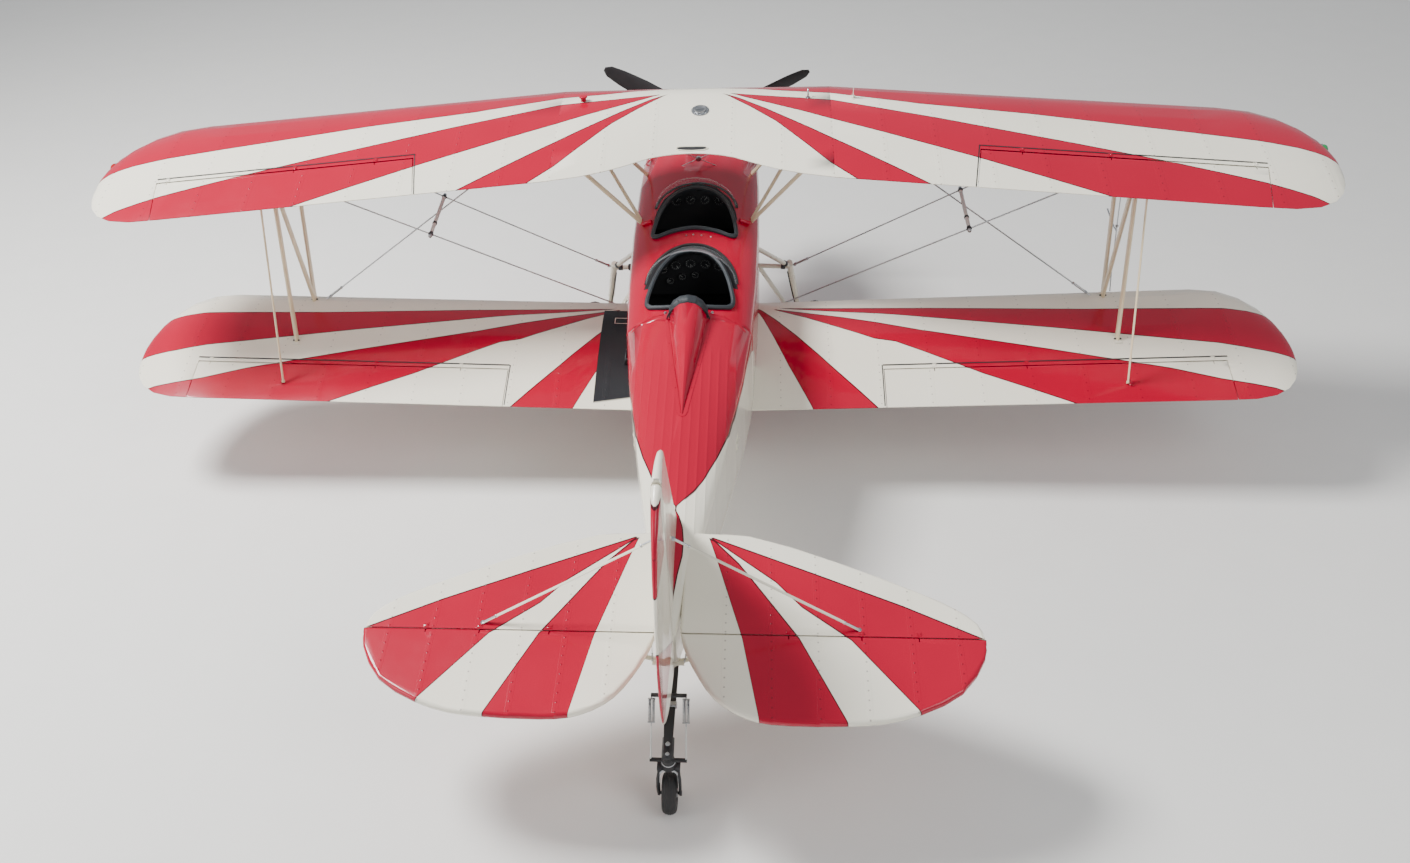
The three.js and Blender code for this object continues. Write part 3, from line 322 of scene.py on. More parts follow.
upperBands = {
    "front": [
        (0, 1.33), (0.12, 1.145), (0.25, 1.085), (0.598, 1.008), (0.955, 0.947), (1.539, 0.761),
        (1.832, 0.694), (2.258, 0.595), (2.908, 0.413), (3.60, 0.222), (3.854, 0.138), (3.98, 0.085),
        (4.1, 0.0),
    ],
    "middleFore": [
        (0, 0.84), (0.218, 0.945), (0.248, 0.960), (0.596, 0.893), (0.953, 0.832), (2.224, 0.340),
        (3.022, 0.032), (3.552, -0.190), (3.80, -0.318), (4.1, -0.52),
    ],
    "middleAft": [
        (0, 1.20), (0.219, 0.988), (0.248, 0.963), (0.329, 0.910), (0.944, 0.592), (1.852, 0.137),
        (2.62, -0.26), (3.5, -0.80), (4.1, -0.80),
    ],
    "innerFore": [
        (0, 0.84), (0.189, 0.958), (0.308, 0.886), (0.928, 0.386), (1.61, -0.15), (2.43, -0.80),
        (4.1, -0.80),
    ],
    "innerAft": [
        (0, 1.25), (0.189, 0.968), (0.557, 0.595), (0.918, 0.137), (1.135, -0.075), (1.85, -0.80),
        (4.1, -0.80),
    ],
}

lowerBands = {
    "frontFore": [
        (0, 0.24), (0.515, 0.216), (1.682, 0.152), (2.717, 0.078), (3.62, 0.042), (3.85, 0.005),
        (4.1, -0.09),
    ],
    "frontAft": [
        (0, 0.48), (0.45, 0.258), (0.632, 0.208), (0.935, 0.155), (1.294, 0.105), (2.270, -0.076),
        (3.247, -0.257), (3.520, -0.306), (3.753, -0.370), (3.97, -0.42), (4.1, -0.47),
    ],
    "middleFore": [
        (0, 0.14), (0.496, 0.189), (0.576, 0.197), (1.277, -0.001), (1.584, -0.103), (1.959, -0.202),
        (2.785, -0.420), (3.175, -0.522), (3.469, -0.620), (3.79, -0.70), (4.1, -0.82),
    ],
    "middleAft": [
        (0, 0.56), (0.497, 0.249), (0.576, 0.189), (1.255, -0.172), (1.396, -0.206), (1.948, -0.520),
        (2.55, -0.805), (3.1, -1.1), (4.1, -1.1),
    ],
    "innerFore": [
        (0, 0.45), (0.40, 0.245), (0.467, 0.193), (0.699, -0.104), (0.988, -0.478), (1.25, -0.80),
        (1.5, -1.1), (4.1, -1.1),
    ],
    "innerAft": [
        (0, 0.85), (0.395, 0.28), (0.455, 0.150), (0.655, -0.405), (0.82, -0.80), (0.95, -1.1),
        (4.1, -1.1),
    ],
}

tailBands = {
    "outerFore": [
        (0, -2.62), (0.19, -2.55), (0.21, -2.543), (0.74, -2.78), (1.186, -2.985), (1.56, -3.178),
        (1.7, -3.25),
    ],
    "outerAft": [
        (0, -2.45), (0.19, -2.53), (0.215, -2.557), (0.545, -2.84), (0.674, -2.998), (0.914, -3.198),
        (1.227, -3.614), (1.3, -3.75), (1.7, -3.75),
    ],
    "innerFore": [
        (0, -2.65), (0.19, -2.55), (0.215, -2.56), (0.352, -2.722), (0.423, -2.83), (0.657, -3.195),
        (0.88, -3.687), (0.92, -3.8), (1.7, -3.8),
    ],
    "innerAft": [
        (0, -2.20), (0.17, -2.50), (0.19, -2.542), (0.228, -2.669), (0.373, -3.195), (0.46, -3.677),
        (0.5, -3.8), (1.7, -3.8),
    ],
}

# Where the ribs stand, how wide their tapes are, how far apart the knots, and how deep the slack
wingCloth = {"first": 0.935, "pitch": 0.335, "tape": 0.022, "stitch": 0.066, "sag": 0.0016}
tailCloth = {"first": 0.29, "pitch": 0.23, "tape": 0.016, "stitch": 0.055, "sag": 0.0010}
finCloth = {"first": 0.05, "pitch": 0.26, "tape": 0.016, "stitch": 0.055, "sag": 0.0008}
gloss = {"coat_weight": 0.45, "coat_roughness": 0.05, "specular_ior_level": 0.2}


# Bands that are the same on the left and on the right
def makeBandedPaint(name, table, bands, cloth):
    finish = Finish(name, **gloss)
    x, y, _ = finish.levelAxes()
    x = abs(x)
    bandedFabric(finish, bandDepths(finish, x, y, table, bands), x, y, cloth)
    return finish.material


def makeUpperWingPaint():
    bands = [(None, "front", 0.95), ("middleFore", "middleAft", 0.88), ("innerFore", "innerAft", 0.72)]
    return makeBandedPaint("upperWingPaint", upperBands, bands, wingCloth)


# The black walkway on the left lower wing, with a framed plate on it
walkway = {"edge": 0.68, "fore": 0.19, "above": -1.31, "label": ((-0.589, -0.481), (0.027, 0.089))}


def makeLowerWingPaint():
    finish = Finish("lowerWingPaint", **gloss)
    x, y, z = finish.levelAxes()
    across = x
    x = abs(x)
    bands = [
        ("frontFore", "frontAft", 0.97), ("middleFore", "middleAft", 0.88),
        ("innerFore", "innerAft", 0.55),
    ]
    depths = bandDepths(finish, x, y, lowerBands, bands)
    top = (z - walkway["above"]).step(-0.002, 0.002)
    onWalk = (walkway["edge"] + across).step(-blur, blur) * across.step(0.0, -blur)
    onWalk = onWalk * (walkway["fore"] - y).step(-blur, blur) * top
    (left, right), (aft, fore) = walkway["label"]
    middle = ((left + right) / 2, (aft + fore) / 2)
    plate = (abs(across - middle[0]) - (right - left) / 2).most(abs(y - middle[1]) - (fore - aft) / 2)
    grit = finish.noise(finish.objectSpace(), scale=900, detail=1)

    def addWalkway(paint):
        tread = finish.mix(grit, colors["tread"], colors["treadGrit"])
        tread = finish.mix(plate.near(0.003, 0.001), tread, colors["cream"])
        return finish.mix(onWalk, paint, tread)

    bandedFabric(finish, depths, x, y, wingCloth, addWalkway)
    finish.feed("Coat Weight", (1 - onWalk) * gloss["coat_weight"])
    return finish.material


def makeTailPaint():
    bands = [("outerFore", "outerAft", 0.80), ("innerFore", "innerAft", 0.55)]
    return makeBandedPaint("tailPaint", tailBands, bands, tailCloth)


rudderPanels = {
    "upper": {
        "fore": -3.262, "top": 0.455,
        "low": [(-3.75, 0.150), (-3.55, 0.150), (-3.40, 0.125), (-3.20, 0.100)],
    },
    "lowerTop": [(-3.75, -0.080), (-3.67, -0.140), (-3.45, -0.390), (-3.22, -0.640)],
    "lowerFoot": [(-3.75, -0.700), (-3.69, -0.690), (-3.45, -0.660), (-3.22, -0.632)],
}


def makeFinPaint():
    finish = Finish("finPaint", **gloss)
    _, y, z = finish.levelAxes()
    shape = rudderPanels["upper"]
    upper = (shape["fore"] - y).least(shape["top"] - z).least(z - finish.line(y, shape["low"]))
    lower = bandDepth(finish, y, z, rudderPanels["lowerTop"], rudderPanels["lowerFoot"], 0.7)
    bandedFabric(finish, [upper, lower], z, y, finCloth)
    return finish.material


hull = {
    # y, half width, bottom, longeron, top
    "sections": [
        (1.350, 0.440, -1.425, -0.790, -0.605), (1.000, 0.450, -1.440, -0.770, -0.590),
        (0.400, 0.452, -1.445, -0.755, -0.580), (-0.200, 0.438, -1.445, -0.745, -0.575),
        (-0.700, 0.412, -1.425, -0.735, -0.572), (-1.200, 0.358, -1.355, -0.720, -0.576),
        (-2.000, 0.238, -1.190, -0.697, -0.592), (-2.700, 0.125, -1.040, -0.680, -0.612),
        (-3.172, 0.036, -0.930, -0.672, -0.624),
    ],
    "deckEdge": [
        (-3.2, 0.006), (-2.95, 0.014), (-2.80, 0.030), (-2.68, 0.049), (-2.58, 0.051), (-2.49, 0.042),
        (-2.41, 0.020), (-2.37, 0.0), (-2.34, 0.0), (-2.22, 0.09), (-2.13, 0.14), (-1.92, 0.215),
        (-1.69, 0.278), (-1.6, 0.292), (-1.3, 0.348), (-1.1, 0.372), (-0.95, 0.396), (-0.9, 0.50),
        (1.4, 0.50),
    ],
    "deckFoot": [
        (-3.2, -0.679), (-2.7, -0.687), (-2.0, -0.704), (-1.2, -0.727), (-0.7, -0.742), (1.4, -0.80),
    ],
    "sideEdge": [
        (-3.2, -0.50), (-1.0, -0.74), (-0.95, -0.755), (-0.78, -0.82), (-0.6, -0.95), (-0.45, -1.15),
        (-0.35, -1.45), (-0.3, -1.6), (1.4, -1.6),
    ],
    "glareFront": [
        (0.0, 0.852), (0.14, 0.80), (0.24, 0.68), (0.283, 0.54), (0.30, 0.40), (0.32, 0.1), (0.5, -0.2),
    ],
    "glareRear": [
        (0.0, 0.078), (0.12, 0.047), (0.222, -0.05), (0.28, -0.19), (0.312, -0.35), (0.33, -0.7),
        (0.5, -1.0),
    ],
    "glareEnds": (0.43, -0.37), "glareFoot": -0.78,
    "stringers": 0.052, "stringersFrom": -0.95,
}


# The values at a place along rows that begin with their place and run from the nose aft
def rowAt(rows, y):
    for fore, aft in zip(rows, rows[1:]):
        if y >= aft[0]:
            part = (fore[0] - y) / (fore[0] - aft[0])
            return [a + (b - a) * part for a, b in zip(fore, aft)]
    return list(rows[-1])


def sectionAt(y):
    return rowAt(hull["sections"], y)


def deckHeight(x, y):
    _, half, _, longeron, top = sectionAt(y)
    return longeron + (top - longeron) * math.sqrt(max(1 - (x / half) ** 2, 0))


def makeHullPaint():
    finish = Finish("hullPaint", **gloss)
    x, y, z = finish.levelAxes()
    x = abs(x)
    onDeck = (finish.line(y, hull["deckEdge"]) - x).least(z - finish.line(y, hull["deckFoot"]))
    inside = onDeck.most(z - finish.line(y, hull["sideEdge"]))
    space = finish.objectSpace()
    paint = twoColors(finish, space, inside, 1.2)
    # matt black from each windscreen's foot back to the cockpit's edge
    frontEnd, rearEnd = hull["glareEnds"]
    front = (finish.line(x, hull["glareFront"]) - y).least(y - frontEnd)
    rear = (finish.line(x, hull["glareRear"]) - y).least(y - rearEnd)
    glare = front.most(rear).least(z - hull["glareFoot"]).step(-blur, blur)
    finish.color(finish.mix(glare, paint, colors["black"]))
    finish.feed("Coat Weight", (1 - glare) * gloss["coat_weight"])
    finish.feed("Roughness", finish.noise(space, scale=5, detail=3) * 0.14 + 0.12 + glare * 0.3)
    # stringers show through the fabric behind the cockpits
    strip = (abs((x / hull["stringers"]).fraction() - 0.5) * 2) ** 3 * 0.0022
    strip = strip * (hull["stringersFrom"] - y).step(0.0, 0.15)
    finish.bump(strip + finish.noise(space, scale=9, detail=2) * 0.0006)
    return finish.material


# Name, two colours that mix in patches, their scale, the roughness's range, bump, shader's settings
plainLooks = {
    "strutPaint": (
        "strutPaint", (0.78, 0.66, 0.44), (0.70, 0.58, 0.38), 7, (0.26, 0.42), 0.00005,
        {"coat_weight": 0.35, "coat_roughness": 0.15}),
    "creamMetal": (
        "creamTubePaint", (0.80, 0.76, 0.62), (0.72, 0.68, 0.55), 7, (0.22, 0.36), 0.00005,
        {"coat_weight": 0.6, "coat_roughness": 0.1}),
    "redMetal": ("redPaint", (0.44, 0.0, 0.026), (0.36, 0.0, 0.021), 3, (0.12, 0.22), 0.00005, gloss),
    "steel": (
        "brushedSteel", (0.50, 0.51, 0.52), (0.38, 0.39, 0.41), 20, (0.22, 0.38), 0.00003,
        {"metallic": 1.0}),
    "alloy": (
        "castAlloy", (0.46, 0.46, 0.46), (0.30, 0.30, 0.31), 14, (0.38, 0.6), 0.0003, {"metallic": 0.9}),
    "darkSteel": (
        "darkFitting", (0.085, 0.085, 0.09), (0.05, 0.05, 0.055), 24, (0.3, 0.5), 0.0001,
        {"metallic": 0.8}),
    "burntSteel": (
        "exhaustSteel", (0.30, 0.24, 0.18), (0.16, 0.13, 0.12), 18, (0.3, 0.55), 0.0002,
        {"metallic": 0.9}),
    "lensRed": (
        "redLens", (0.55, 0.004, 0.004), (0.42, 0.003, 0.003), 60, (0.04, 0.09), 0.0002,
        {"transmission_weight": 0.35, "coat_weight": 0.6}),
    "lensGreen": (
        "greenLens", (0.004, 0.36, 0.09), (0.003, 0.28, 0.07), 60, (0.04, 0.09), 0.0002,
        {"transmission_weight": 0.35, "coat_weight": 0.6}),
    "dialWhite": ("dialWhite", (0.72, 0.73, 0.70), (0.62, 0.63, 0.60), 60, (0.5, 0.7), 0.0),
    "webbing": ("harnessWebbing", (0.045, 0.045, 0.052), (0.022, 0.022, 0.026), 420, (0.75, 0.92), 0.0005),
    "rubber": ("tyreRubber", (0.020, 0.020, 0.021), (0.045, 0.043, 0.041), 16, (0.72, 0.9), 0.0003),
    "black": ("satinBlack", (0.010, 0.010, 0.011), (0.022, 0.022, 0.024), 9, (0.38, 0.55), 0.0001),
    "blade": ("bladeBlack", (0.008, 0.008, 0.009), (0.016, 0.016, 0.018), 12, (0.42, 0.58), 0.0001),
    "interior": ("cockpitBlack", (0.010, 0.011, 0.012), (0.020, 0.021, 0.023), 10, (0.6, 0.8), 0.0004),
    "crackle": ("crackleBlack", (0.012, 0.012, 0.013), (0.024, 0.024, 0.026), 120, (0.55, 0.8), 0.0005),
    "leather": ("blueGreyLeather", (0.022, 0.028, 0.034), (0.010, 0.013, 0.017), 22, (0.46, 0.66), 0.0008),
    # light grey for the fork's edges: bare metal edges, made lighter as painted highlight
    "greyPaint": (
        "greyPaint", (0.52, 0.53, 0.53), (0.42, 0.43, 0.44), 18, (0.3, 0.45), 0.0001,
        {"coat_weight": 0.3}),
    "thread": ("seamThread", (0.11, 0.125, 0.135), (0.05, 0.06, 0.07), 260, (0.6, 0.8), 0.0003),
    "seatFabric": ("seatFabric", (0.030, 0.030, 0.034), (0.016, 0.016, 0.018), 90, (0.8, 0.95), 0.001),
}


def makePlain(name, first, second, scale, rough, bump, shader=None):
    finish = Finish(name, **(shader or {}))
    space = finish.objectSpace()
    patchy = finish.noise(space, scale=scale, detail=3)
    finish.color(finish.mix(patchy, first, second))
    spread = finish.noise(space, scale=scale * 2.3, detail=3)
    finish.feed("Roughness", spread * (rough[1] - rough[0]) + rough[0])
    if bump:
        finish.bump(finish.noise(space, scale=scale * 12, detail=2) * bump)
    return finish.material


makeCamera()
makeStudio()
print("camera and studio are set")

materials = {
    "upperWing": makeUpperWingPaint(),
    "lowerWing": makeLowerWingPaint(),
    "tail": makeTailPaint(),
    "fin": makeFinPaint(),
    "hull": makeHullPaint(),
}
for look, (name, first, second, scale, rough, bump, *shader) in plainLooks.items():
    materials[look] = makePlain(name, (*first, 1), (*second, 1), scale, rough, bump, *shader)


def makeGlass():
    finish = Finish("clearPane", roughness=0.02, ior=1.49, alpha=0.08, coat_weight=0.15)
    space = finish.objectSpace()
    haze = finish.noise(space, scale=12, detail=3)
    finish.color(finish.mix(haze, (0.85, 0.9, 0.92, 1), (0.75, 0.82, 0.85, 1)))
    finish.feed("Roughness", haze * 0.05 + 0.01)
    return finish.material


materials["glass"] = makeGlass()
print("materials are made")


def deselectAll():
    if bpy.context.object and bpy.context.object.mode != "OBJECT":
        bpy.ops.object.mode_set(mode="OBJECT")
    bpy.ops.object.select_all(action="DESELECT")


skinAngle = 32      # edges sharper than this stay sharp


# A merged, smoothly shaded copy of a solid, which stands in its place
def dress(node, look, body, cuts=()):
    deselectAll()
    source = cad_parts[node]
    obj = source.copy()
    obj.data = source.data.copy()
    obj.name = f"{node}.skin"
    obj.parent = None
    obj.matrix_world = Matrix.Identity(4)
    bpy.context.collection.objects.link(obj)
    obj.select_set(True)
    bpy.context.view_layer.objects.active = obj
    obj.data.materials.clear()
    obj.data.materials.append(materials[look])
    bpy.ops.object.mode_set(mode="EDIT")
    bpy.ops.mesh.select_all(action="SELECT")
    bpy.ops.mesh.remove_doubles(threshold=0.00001)
    for at, normal in cuts:
        bpy.ops.mesh.select_all(action="SELECT")
        bpy.ops.mesh.bisect(plane_co=at, plane_no=normal)
    bpy.ops.object.mode_set(mode="OBJECT")
    bpy.ops.object.shade_smooth_by_angle(angle=math.radians(skinAngle))
    evenNormals = obj.modifiers.new("evenNormals", "WEIGHTED_NORMAL")
    evenNormals.keep_sharp = True
    bpy.ops.object.modifier_apply(modifier=evenNormals.name)
    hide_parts(node)
    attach(obj, body)
    skins[node] = obj


skins = {}


# Planes that cut a surface at its ribs and beside its hinge line, which keeps its shading even
def cutsAcross(stations):
    return [(level(x, 0, 0), (1, 0, 0)) for x in stations]


def cutsAlong(*places):
    return [(level(0, y, 0), turnUp @ Vector((slant, 1, 0))) for y, slant in places]


# The wings' profile and plan, and the trailing edge of the upper wing's middle
section = {
    "chord": 1.15, "camber": 0.02, "crest": 0.4, "root": 0.9403, "sweep": 8.8, "dihedral": 2.0,
    "lowerTrail": -0.79, "lowerRoot": -1.346,
}
middleEdge = [(0, 0.315), (0.2, 0.288), (0.37, 0.214), (0.6, 0.097), (0.9403, 0.0)]


def ribPlaces(cloth, count):
    return [cloth["first"] + cloth["pitch"] * i for i in range(count)]


wingRibs = ribPlaces(wingCloth, 9)
tailRibs = ribPlaces(tailCloth, 6)
upperSlant = math.tan(math.radians(section["sweep"]))
# where the hinge lines cross the middle, and how far beside them the cuts lie
hingeLines = {"upper": 0.343 + section["root"] * upperSlant, "lower": -0.482, "tail": -3.19}
besideHinge = {"wing": 0.06, "tail": 0.05}
for side in ("left", "right"):
    sign = -1 if side == "left" else 1
    for deckName, slant in (("upper", upperSlant * sign), ("lower", 0)):
        hinge, off = hingeLines[deckName], besideHinge["wing"]
        cuts = cutsAcross([sign * x for x in wingRibs])
        cuts += cutsAlong((hinge + off, slant), (hinge - off, slant))
        aileron = f"aileron_{deckName}_{side}"
        dress(f"wing_{deckName}_{side}", f"{deckName}Wing", "airframe", cuts)
        dress(aileron, f"{deckName}Wing", aileron, cuts)
    plain = [
        (f"aileron_rod_{side}", "strutPaint", f"aileron_rod_{side}"),
        (f"interplane_strut_{side}", "strutPaint", "airframe"),
        (f"cabane_{side}", "strutPaint", "airframe"),
        (f"gear_{side}", "creamMetal", "airframe"),
        (f"wires_{side}", "steel", "airframe"),
        (f"tail_wire_{side}", "creamMetal", "airframe"),
        (f"tyre_{side}", "rubber", f"wheel_{side}"),
        (f"wheel_hub_{side}", "alloy", f"wheel_{side}"),
    ]
    for node, look, body in plain:
        dress(node, look, body)
    hinge, off = hingeLines["tail"], besideHinge["tail"]
    cuts = cutsAcross([sign * x for x in tailRibs]) + cutsAlong((hinge + off, 0), (hinge - off, 0))
    dress(f"stabilizer_{side}", "tail", "airframe", cuts)
    dress(f"elevator_{side}", "tail", "elevator", cuts)

others = [
    ("wing_center_section", "upperWing", "airframe"),
    ("fuselage", "hull", "airframe"),
    ("aft_fuselage", "hull", "airframe"),
    ("cowling", "redMetal", "airframe"),
    ("engine_block", "alloy", "airframe"),
    ("fin", "fin", "airframe"),
    ("rudder", "fin", "rudder"),
    ("headrest_pad", "leather", "airframe"),
    ("cockpit_rim_front", "leather", "airframe"),
    ("cockpit_rim_rear", "leather", "airframe"),
    ("windscreen_front", "glass", "airframe"),
    ("windscreen_rear", "glass", "airframe"),
    ("instrument_panel_front", "crackle", "airframe"),
    ("instrument_panel_rear", "crackle", "airframe"),
    ("seat_front", "seatFabric", "airframe"),
    ("seat_rear", "seatFabric", "airframe"),
    ("tail_struts", "creamMetal", "airframe"),
    ("tail_spring", "black", "airframe"),
    ("tail_fork", "black", "tail_fork"),
    ("tailwheel_tyre", "rubber", "tailwheel"),
    ("tailwheel_hub", "alloy", "tailwheel"),
    ("propeller", "blade", "propeller"),
    ("spinner", "redMetal", "propeller"),
]
for node, look, body in others:
    dress(node, look, body)


# Faces that pass a test on their level middle get a second material
def paintFaces(obj, look, test):
    obj.data.materials.append(materials[look])
    for face in obj.data.polygons:
        if test(toLevel(face.center)):
            face.material_index = 1


# Inner walls of the cockpits are black
walls = {"thick": 0.009, "aft": -0.74, "fore": 1.2}


def isInside(at):
    _, half, bottom, _, _ = sectionAt(at.y)
    clear = walls["thick"]
    within = abs(at.x) < half - clear and bottom + clear < at.z < deckHeight(at.x, at.y) - clear
    return within and walls["aft"] < at.y < walls["fore"]


paintFaces(skins["fuselage"], "interior", isInside)
finShape = {"hinge": -3.205, "foot": -0.886, "half": 0.0256}
paintFaces(skins["rudder"], "darkSteel", lambda at: at.z < finShape["foot"])


# The fin and the rudder thin out from the hinge line to their edges
def thinOut(obj, reach, least):
    for vertex in obj.data.vertices:
        at = toLevel(vertex.co)
        if abs(at.x) < finShape["half"] and at.z > finShape["foot"]:
            part = min(abs(at.y - finShape["hinge"]) / reach, 1)
            vertex.co = level(at.x * (1 - (1 - least) * part), at.y, at.z)


thinOut(skins["fin"], 0.42, 0.36)
thinOut(skins["rudder"], 0.44, 0.30)
print("the solids are dressed")


# Hand tools for new pieces
def startRound(radius, depth, at, along=(0, 0, 1), vertices=16):
    deselectAll()
    turn = Vector(along).to_track_quat("Z", "Y").to_euler()
    bpy.ops.mesh.primitive_cylinder_add(
        vertices=vertices, radius=radius, depth=depth, location=at, rotation=turn)
    return bpy.context.object


def startBlock(size, at, tilt=parked["tilt"]):
    deselectAll()
    bpy.ops.mesh.primitive_cube_add(size=1, location=at, rotation=(tilt, 0, 0), scale=size)
    return bpy.context.object


def choose(obj):
    deselectAll()
    obj.select_set(True)
    bpy.context.view_layer.objects.active = obj


def settle(obj):
    choose(obj)
    bpy.ops.object.transform_apply(location=True, rotation=True, scale=True)
    return obj


def modify(obj, kind, **settings):
    choose(obj)
    modifier = obj.modifiers.new(kind.lower(), kind)
    for key, value in settings.items():
        setattr(modifier, key, value)
    bpy.ops.object.modifier_apply(modifier=modifier.name)
    return obj


def soften(obj, width, segments=2, angle=30):
    settle(obj)
    return modify(
        obj, "BEVEL", width=width, segments=segments, limit_method="ANGLE",
        angle_limit=math.radians(angle))


# Opens a piece in edit mode with the faces selected that pass a test on their middle and normal
def pickFaces(obj, test):
    choose(obj)
    bpy.ops.object.mode_set(mode="EDIT")
    bpy.ops.mesh.select_mode(type="FACE")
    bpy.ops.mesh.select_all(action="DESELECT")
    mesh = bmesh.from_edit_mesh(obj.data)
    for face in mesh.faces:
        face.select_set(test(face.calc_center_median(), face.normal))
    bmesh.update_edit_mesh(obj.data)


def joined(pieces):
    deselectAll()
    for piece in pieces:
        piece.select_set(True)
    bpy.context.view_layer.objects.active = pieces[0]
    if len(pieces) > 1:
        bpy.ops.object.join()
    return pieces[0]


# Copies of one model, each turned so that its Z lies along a direction
def copies(model, places):
    made = []
    for at, along in places:
        piece = model.copy()
        piece.data = model.data.copy()
        bpy.context.collection.objects.link(piece)
        piece.location = at
        piece.rotation_euler = Vector(along).to_track_quat("Z", "Y").to_euler()
        made.append(piece)
    for piece in made:
        settle(piece)
    deselectAll()
    model.select_set(True)
    bpy.ops.object.delete()
    return made


# A round bar or wire through a row of points
def startTube(points, radius, sides=8, closed=False):
    deselectAll()
    bpy.ops.curve.primitive_bezier_curve_add(location=(0, 0, 0))
    obj = bpy.context.object
    curve = obj.data
    curve.splines.clear()
    spline = curve.splines.new("POLY")
    spline.points.add(len(points) - 1)
    for slot, point in zip(spline.points, points):
        slot.co = (*point, 1)
    spline.use_cyclic_u = closed
    curve.dimensions = "3D"
    curve.twist_mode = "MINIMUM"
    curve.bevel_depth = radius
    curve.bevel_resolution = max(sides // 4, 1)
    curve.use_fill_caps = not closed
    choose(obj)
    bpy.ops.object.convert(target="MESH")
    return bpy.context.object


# A flat strip along a row of points, each with the direction across it
def startStrip(rows, width, thick, across=4):
    deselectAll()
    bpy.ops.mesh.primitive_grid_add(x_subdivisions=across, y_subdivisions=len(rows) - 1, size=1)
    obj = bpy.context.object
    settle(obj)
    for vertex in obj.data.vertices:
        row = round((vertex.co.y + 0.5) * (len(rows) - 1))
        place, side = rows[row]
        vertex.co = Vector(place) + Vector(side).normalized() * vertex.co.x * width
    return modify(obj, "SOLIDIFY", thickness=thick, offset=0)


# The slot listed for each look, unless a piece says another one; clothe looks it up but gives it to no piece
usualSlots = {
    "alloy": "alloy", "creamMetal": "fabric_cream", "lowerWing": "fabric_cream", "redMetal": "paint_red",
    "rubber": "rubber", "steel": "steel", "darkSteel": "steel", "burntSteel": "steel", "strutPaint": "steel",
    "crackle": "panel_black", "greyPaint": "steel",
}


# One look over a whole piece, which is settled first
def clothe(obj, name, look, slot=None, angle=None):
    settle(obj)
    obj.name = name
    obj.data.name = name
    obj.data.materials.clear()
    obj.data.materials.append(materials[look])
    if angle:
        bpy.ops.object.shade_smooth_by_angle(angle=math.radians(angle))
    slot = slot or usualSlots.get(look, "trim")
    return obj


# A piece, or several joined into one, merged and turned outward, with its name, look and body
def complete(made, name, look, slot=None, body="airframe", angle=35):
    obj = settle(joined(made) if isinstance(made, list) else made)
    bpy.ops.object.mode_set(mode="EDIT")
    bpy.ops.mesh.select_all(action="SELECT")
    bpy.ops.mesh.remove_doubles(threshold=0.00002)
    bpy.ops.mesh.normals_make_consistent(inside=False)
    bpy.ops.object.mode_set(mode="OBJECT")
    clothe(obj, name, look, slot, angle)
    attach(obj, body)
    return obj


def mirrorX(point, sign):
    return (point[0] * sign, point[1], point[2])


def between(a, b, part):
    return tuple(p + (q - p) * part for p, q in zip(a, b))


# A direction on the level aircraft, in the parked frame
def heading(x, y, z):
    return turnUp @ Vector((x, y, z))


upAxis, sideAxis, noseAxis = heading(0, 0, 1), heading(1, 0, 0), heading(0, 1, 0)
sides = ((-1, "left"), (1, "right"))


def placed(points):
    return [level(*p) for p in points]


# Evenly spaced angles all the way round
def allRound(count, offset=0.0):
    return [2 * math.pi * (k + offset) / count for k in range(count)]


# Stands a mesh that was made at the origin on a place, tilted like the aircraft
def standAt(obj, place):
    obj.data.transform(Matrix.Translation(place) @ turnUp.to_4x4())


# Insets the faces that pass a test and moves them, once for each pair of an inset and a move
def press(obj, test, *rounds):
    pickFaces(obj, test)
    for thickness, move in rounds:
        bpy.ops.mesh.inset(thickness=thickness)
        bpy.ops.transform.translate(value=move)
    bpy.ops.object.mode_set(mode="OBJECT")


def trailingEdge(deckName, x):
    if deckName == "lower":
        return section["lowerTrail"]
    if x > section["root"]:
        return -(x - section["root"]) * upperSlant
    for near, far in zip(middleEdge, middleEdge[1:]):
        if x <= far[0]:
            return near[1] + (far[1] - near[1]) * (x - near[0]) / (far[0] - near[0])
    return 0.0


# Height of a wing's skin on the level aircraft: up is 1 for its top and -1 for its underside
def skinHeight(deckName, x, y, up=1):
    x = abs(x)
    trail = trailingEdge(deckName, x)
    lead = section["chord"] if deckName == "upper" and x < section["root"] else trail + section["chord"]
    base = 0.0
    if deckName == "lower":
        base = section["lowerRoot"] + x * math.tan(math.radians(section["dihedral"]))
    c = min(max((lead - y) / (lead - trail), 0.001), 0.999)
    rise, crest = section["camber"], section["crest"]
    if c < crest:
        middle = rise / crest ** 2 * (2 * crest * c - c * c)
    else:
        middle = rise / (1 - crest) ** 2 * (1 - 2 * crest + 2 * crest * c - c * c)
    half = 0.6 * (0.2969 * math.sqrt(c) - 0.126 * c - 0.3516 * c ** 2 + 0.2843 * c ** 3 - 0.1 * c ** 4)
    return base + section["chord"] * (middle + up * half)


# One fastener, used all over the airframe
def startScrew(radius=0.006):
    deselectAll()
    bpy.ops.mesh.primitive_cylinder_add(vertices=12, radius=radius, depth=0.003, location=(0, 0, 0.001))
    obj = bpy.context.object
    slot = [(radius * 0.25, (0, 0, 0.0012)), (radius * 0.3, (0, 0, -0.0008))]
    press(obj, lambda at, normal: normal.z > 0.9, *slot)
    return settle(obj)


def startBolt(size=0.008):
    washer = startRound(size * 1.35, 0.002, (0, 0, 0.001), vertices=14)
    head = startRound(size, size * 0.8, (0, 0, 0.002 + size * 0.4), vertices=6)
    obj = joined([washer, head])
    return soften(obj, size * 0.12, 1, 25)


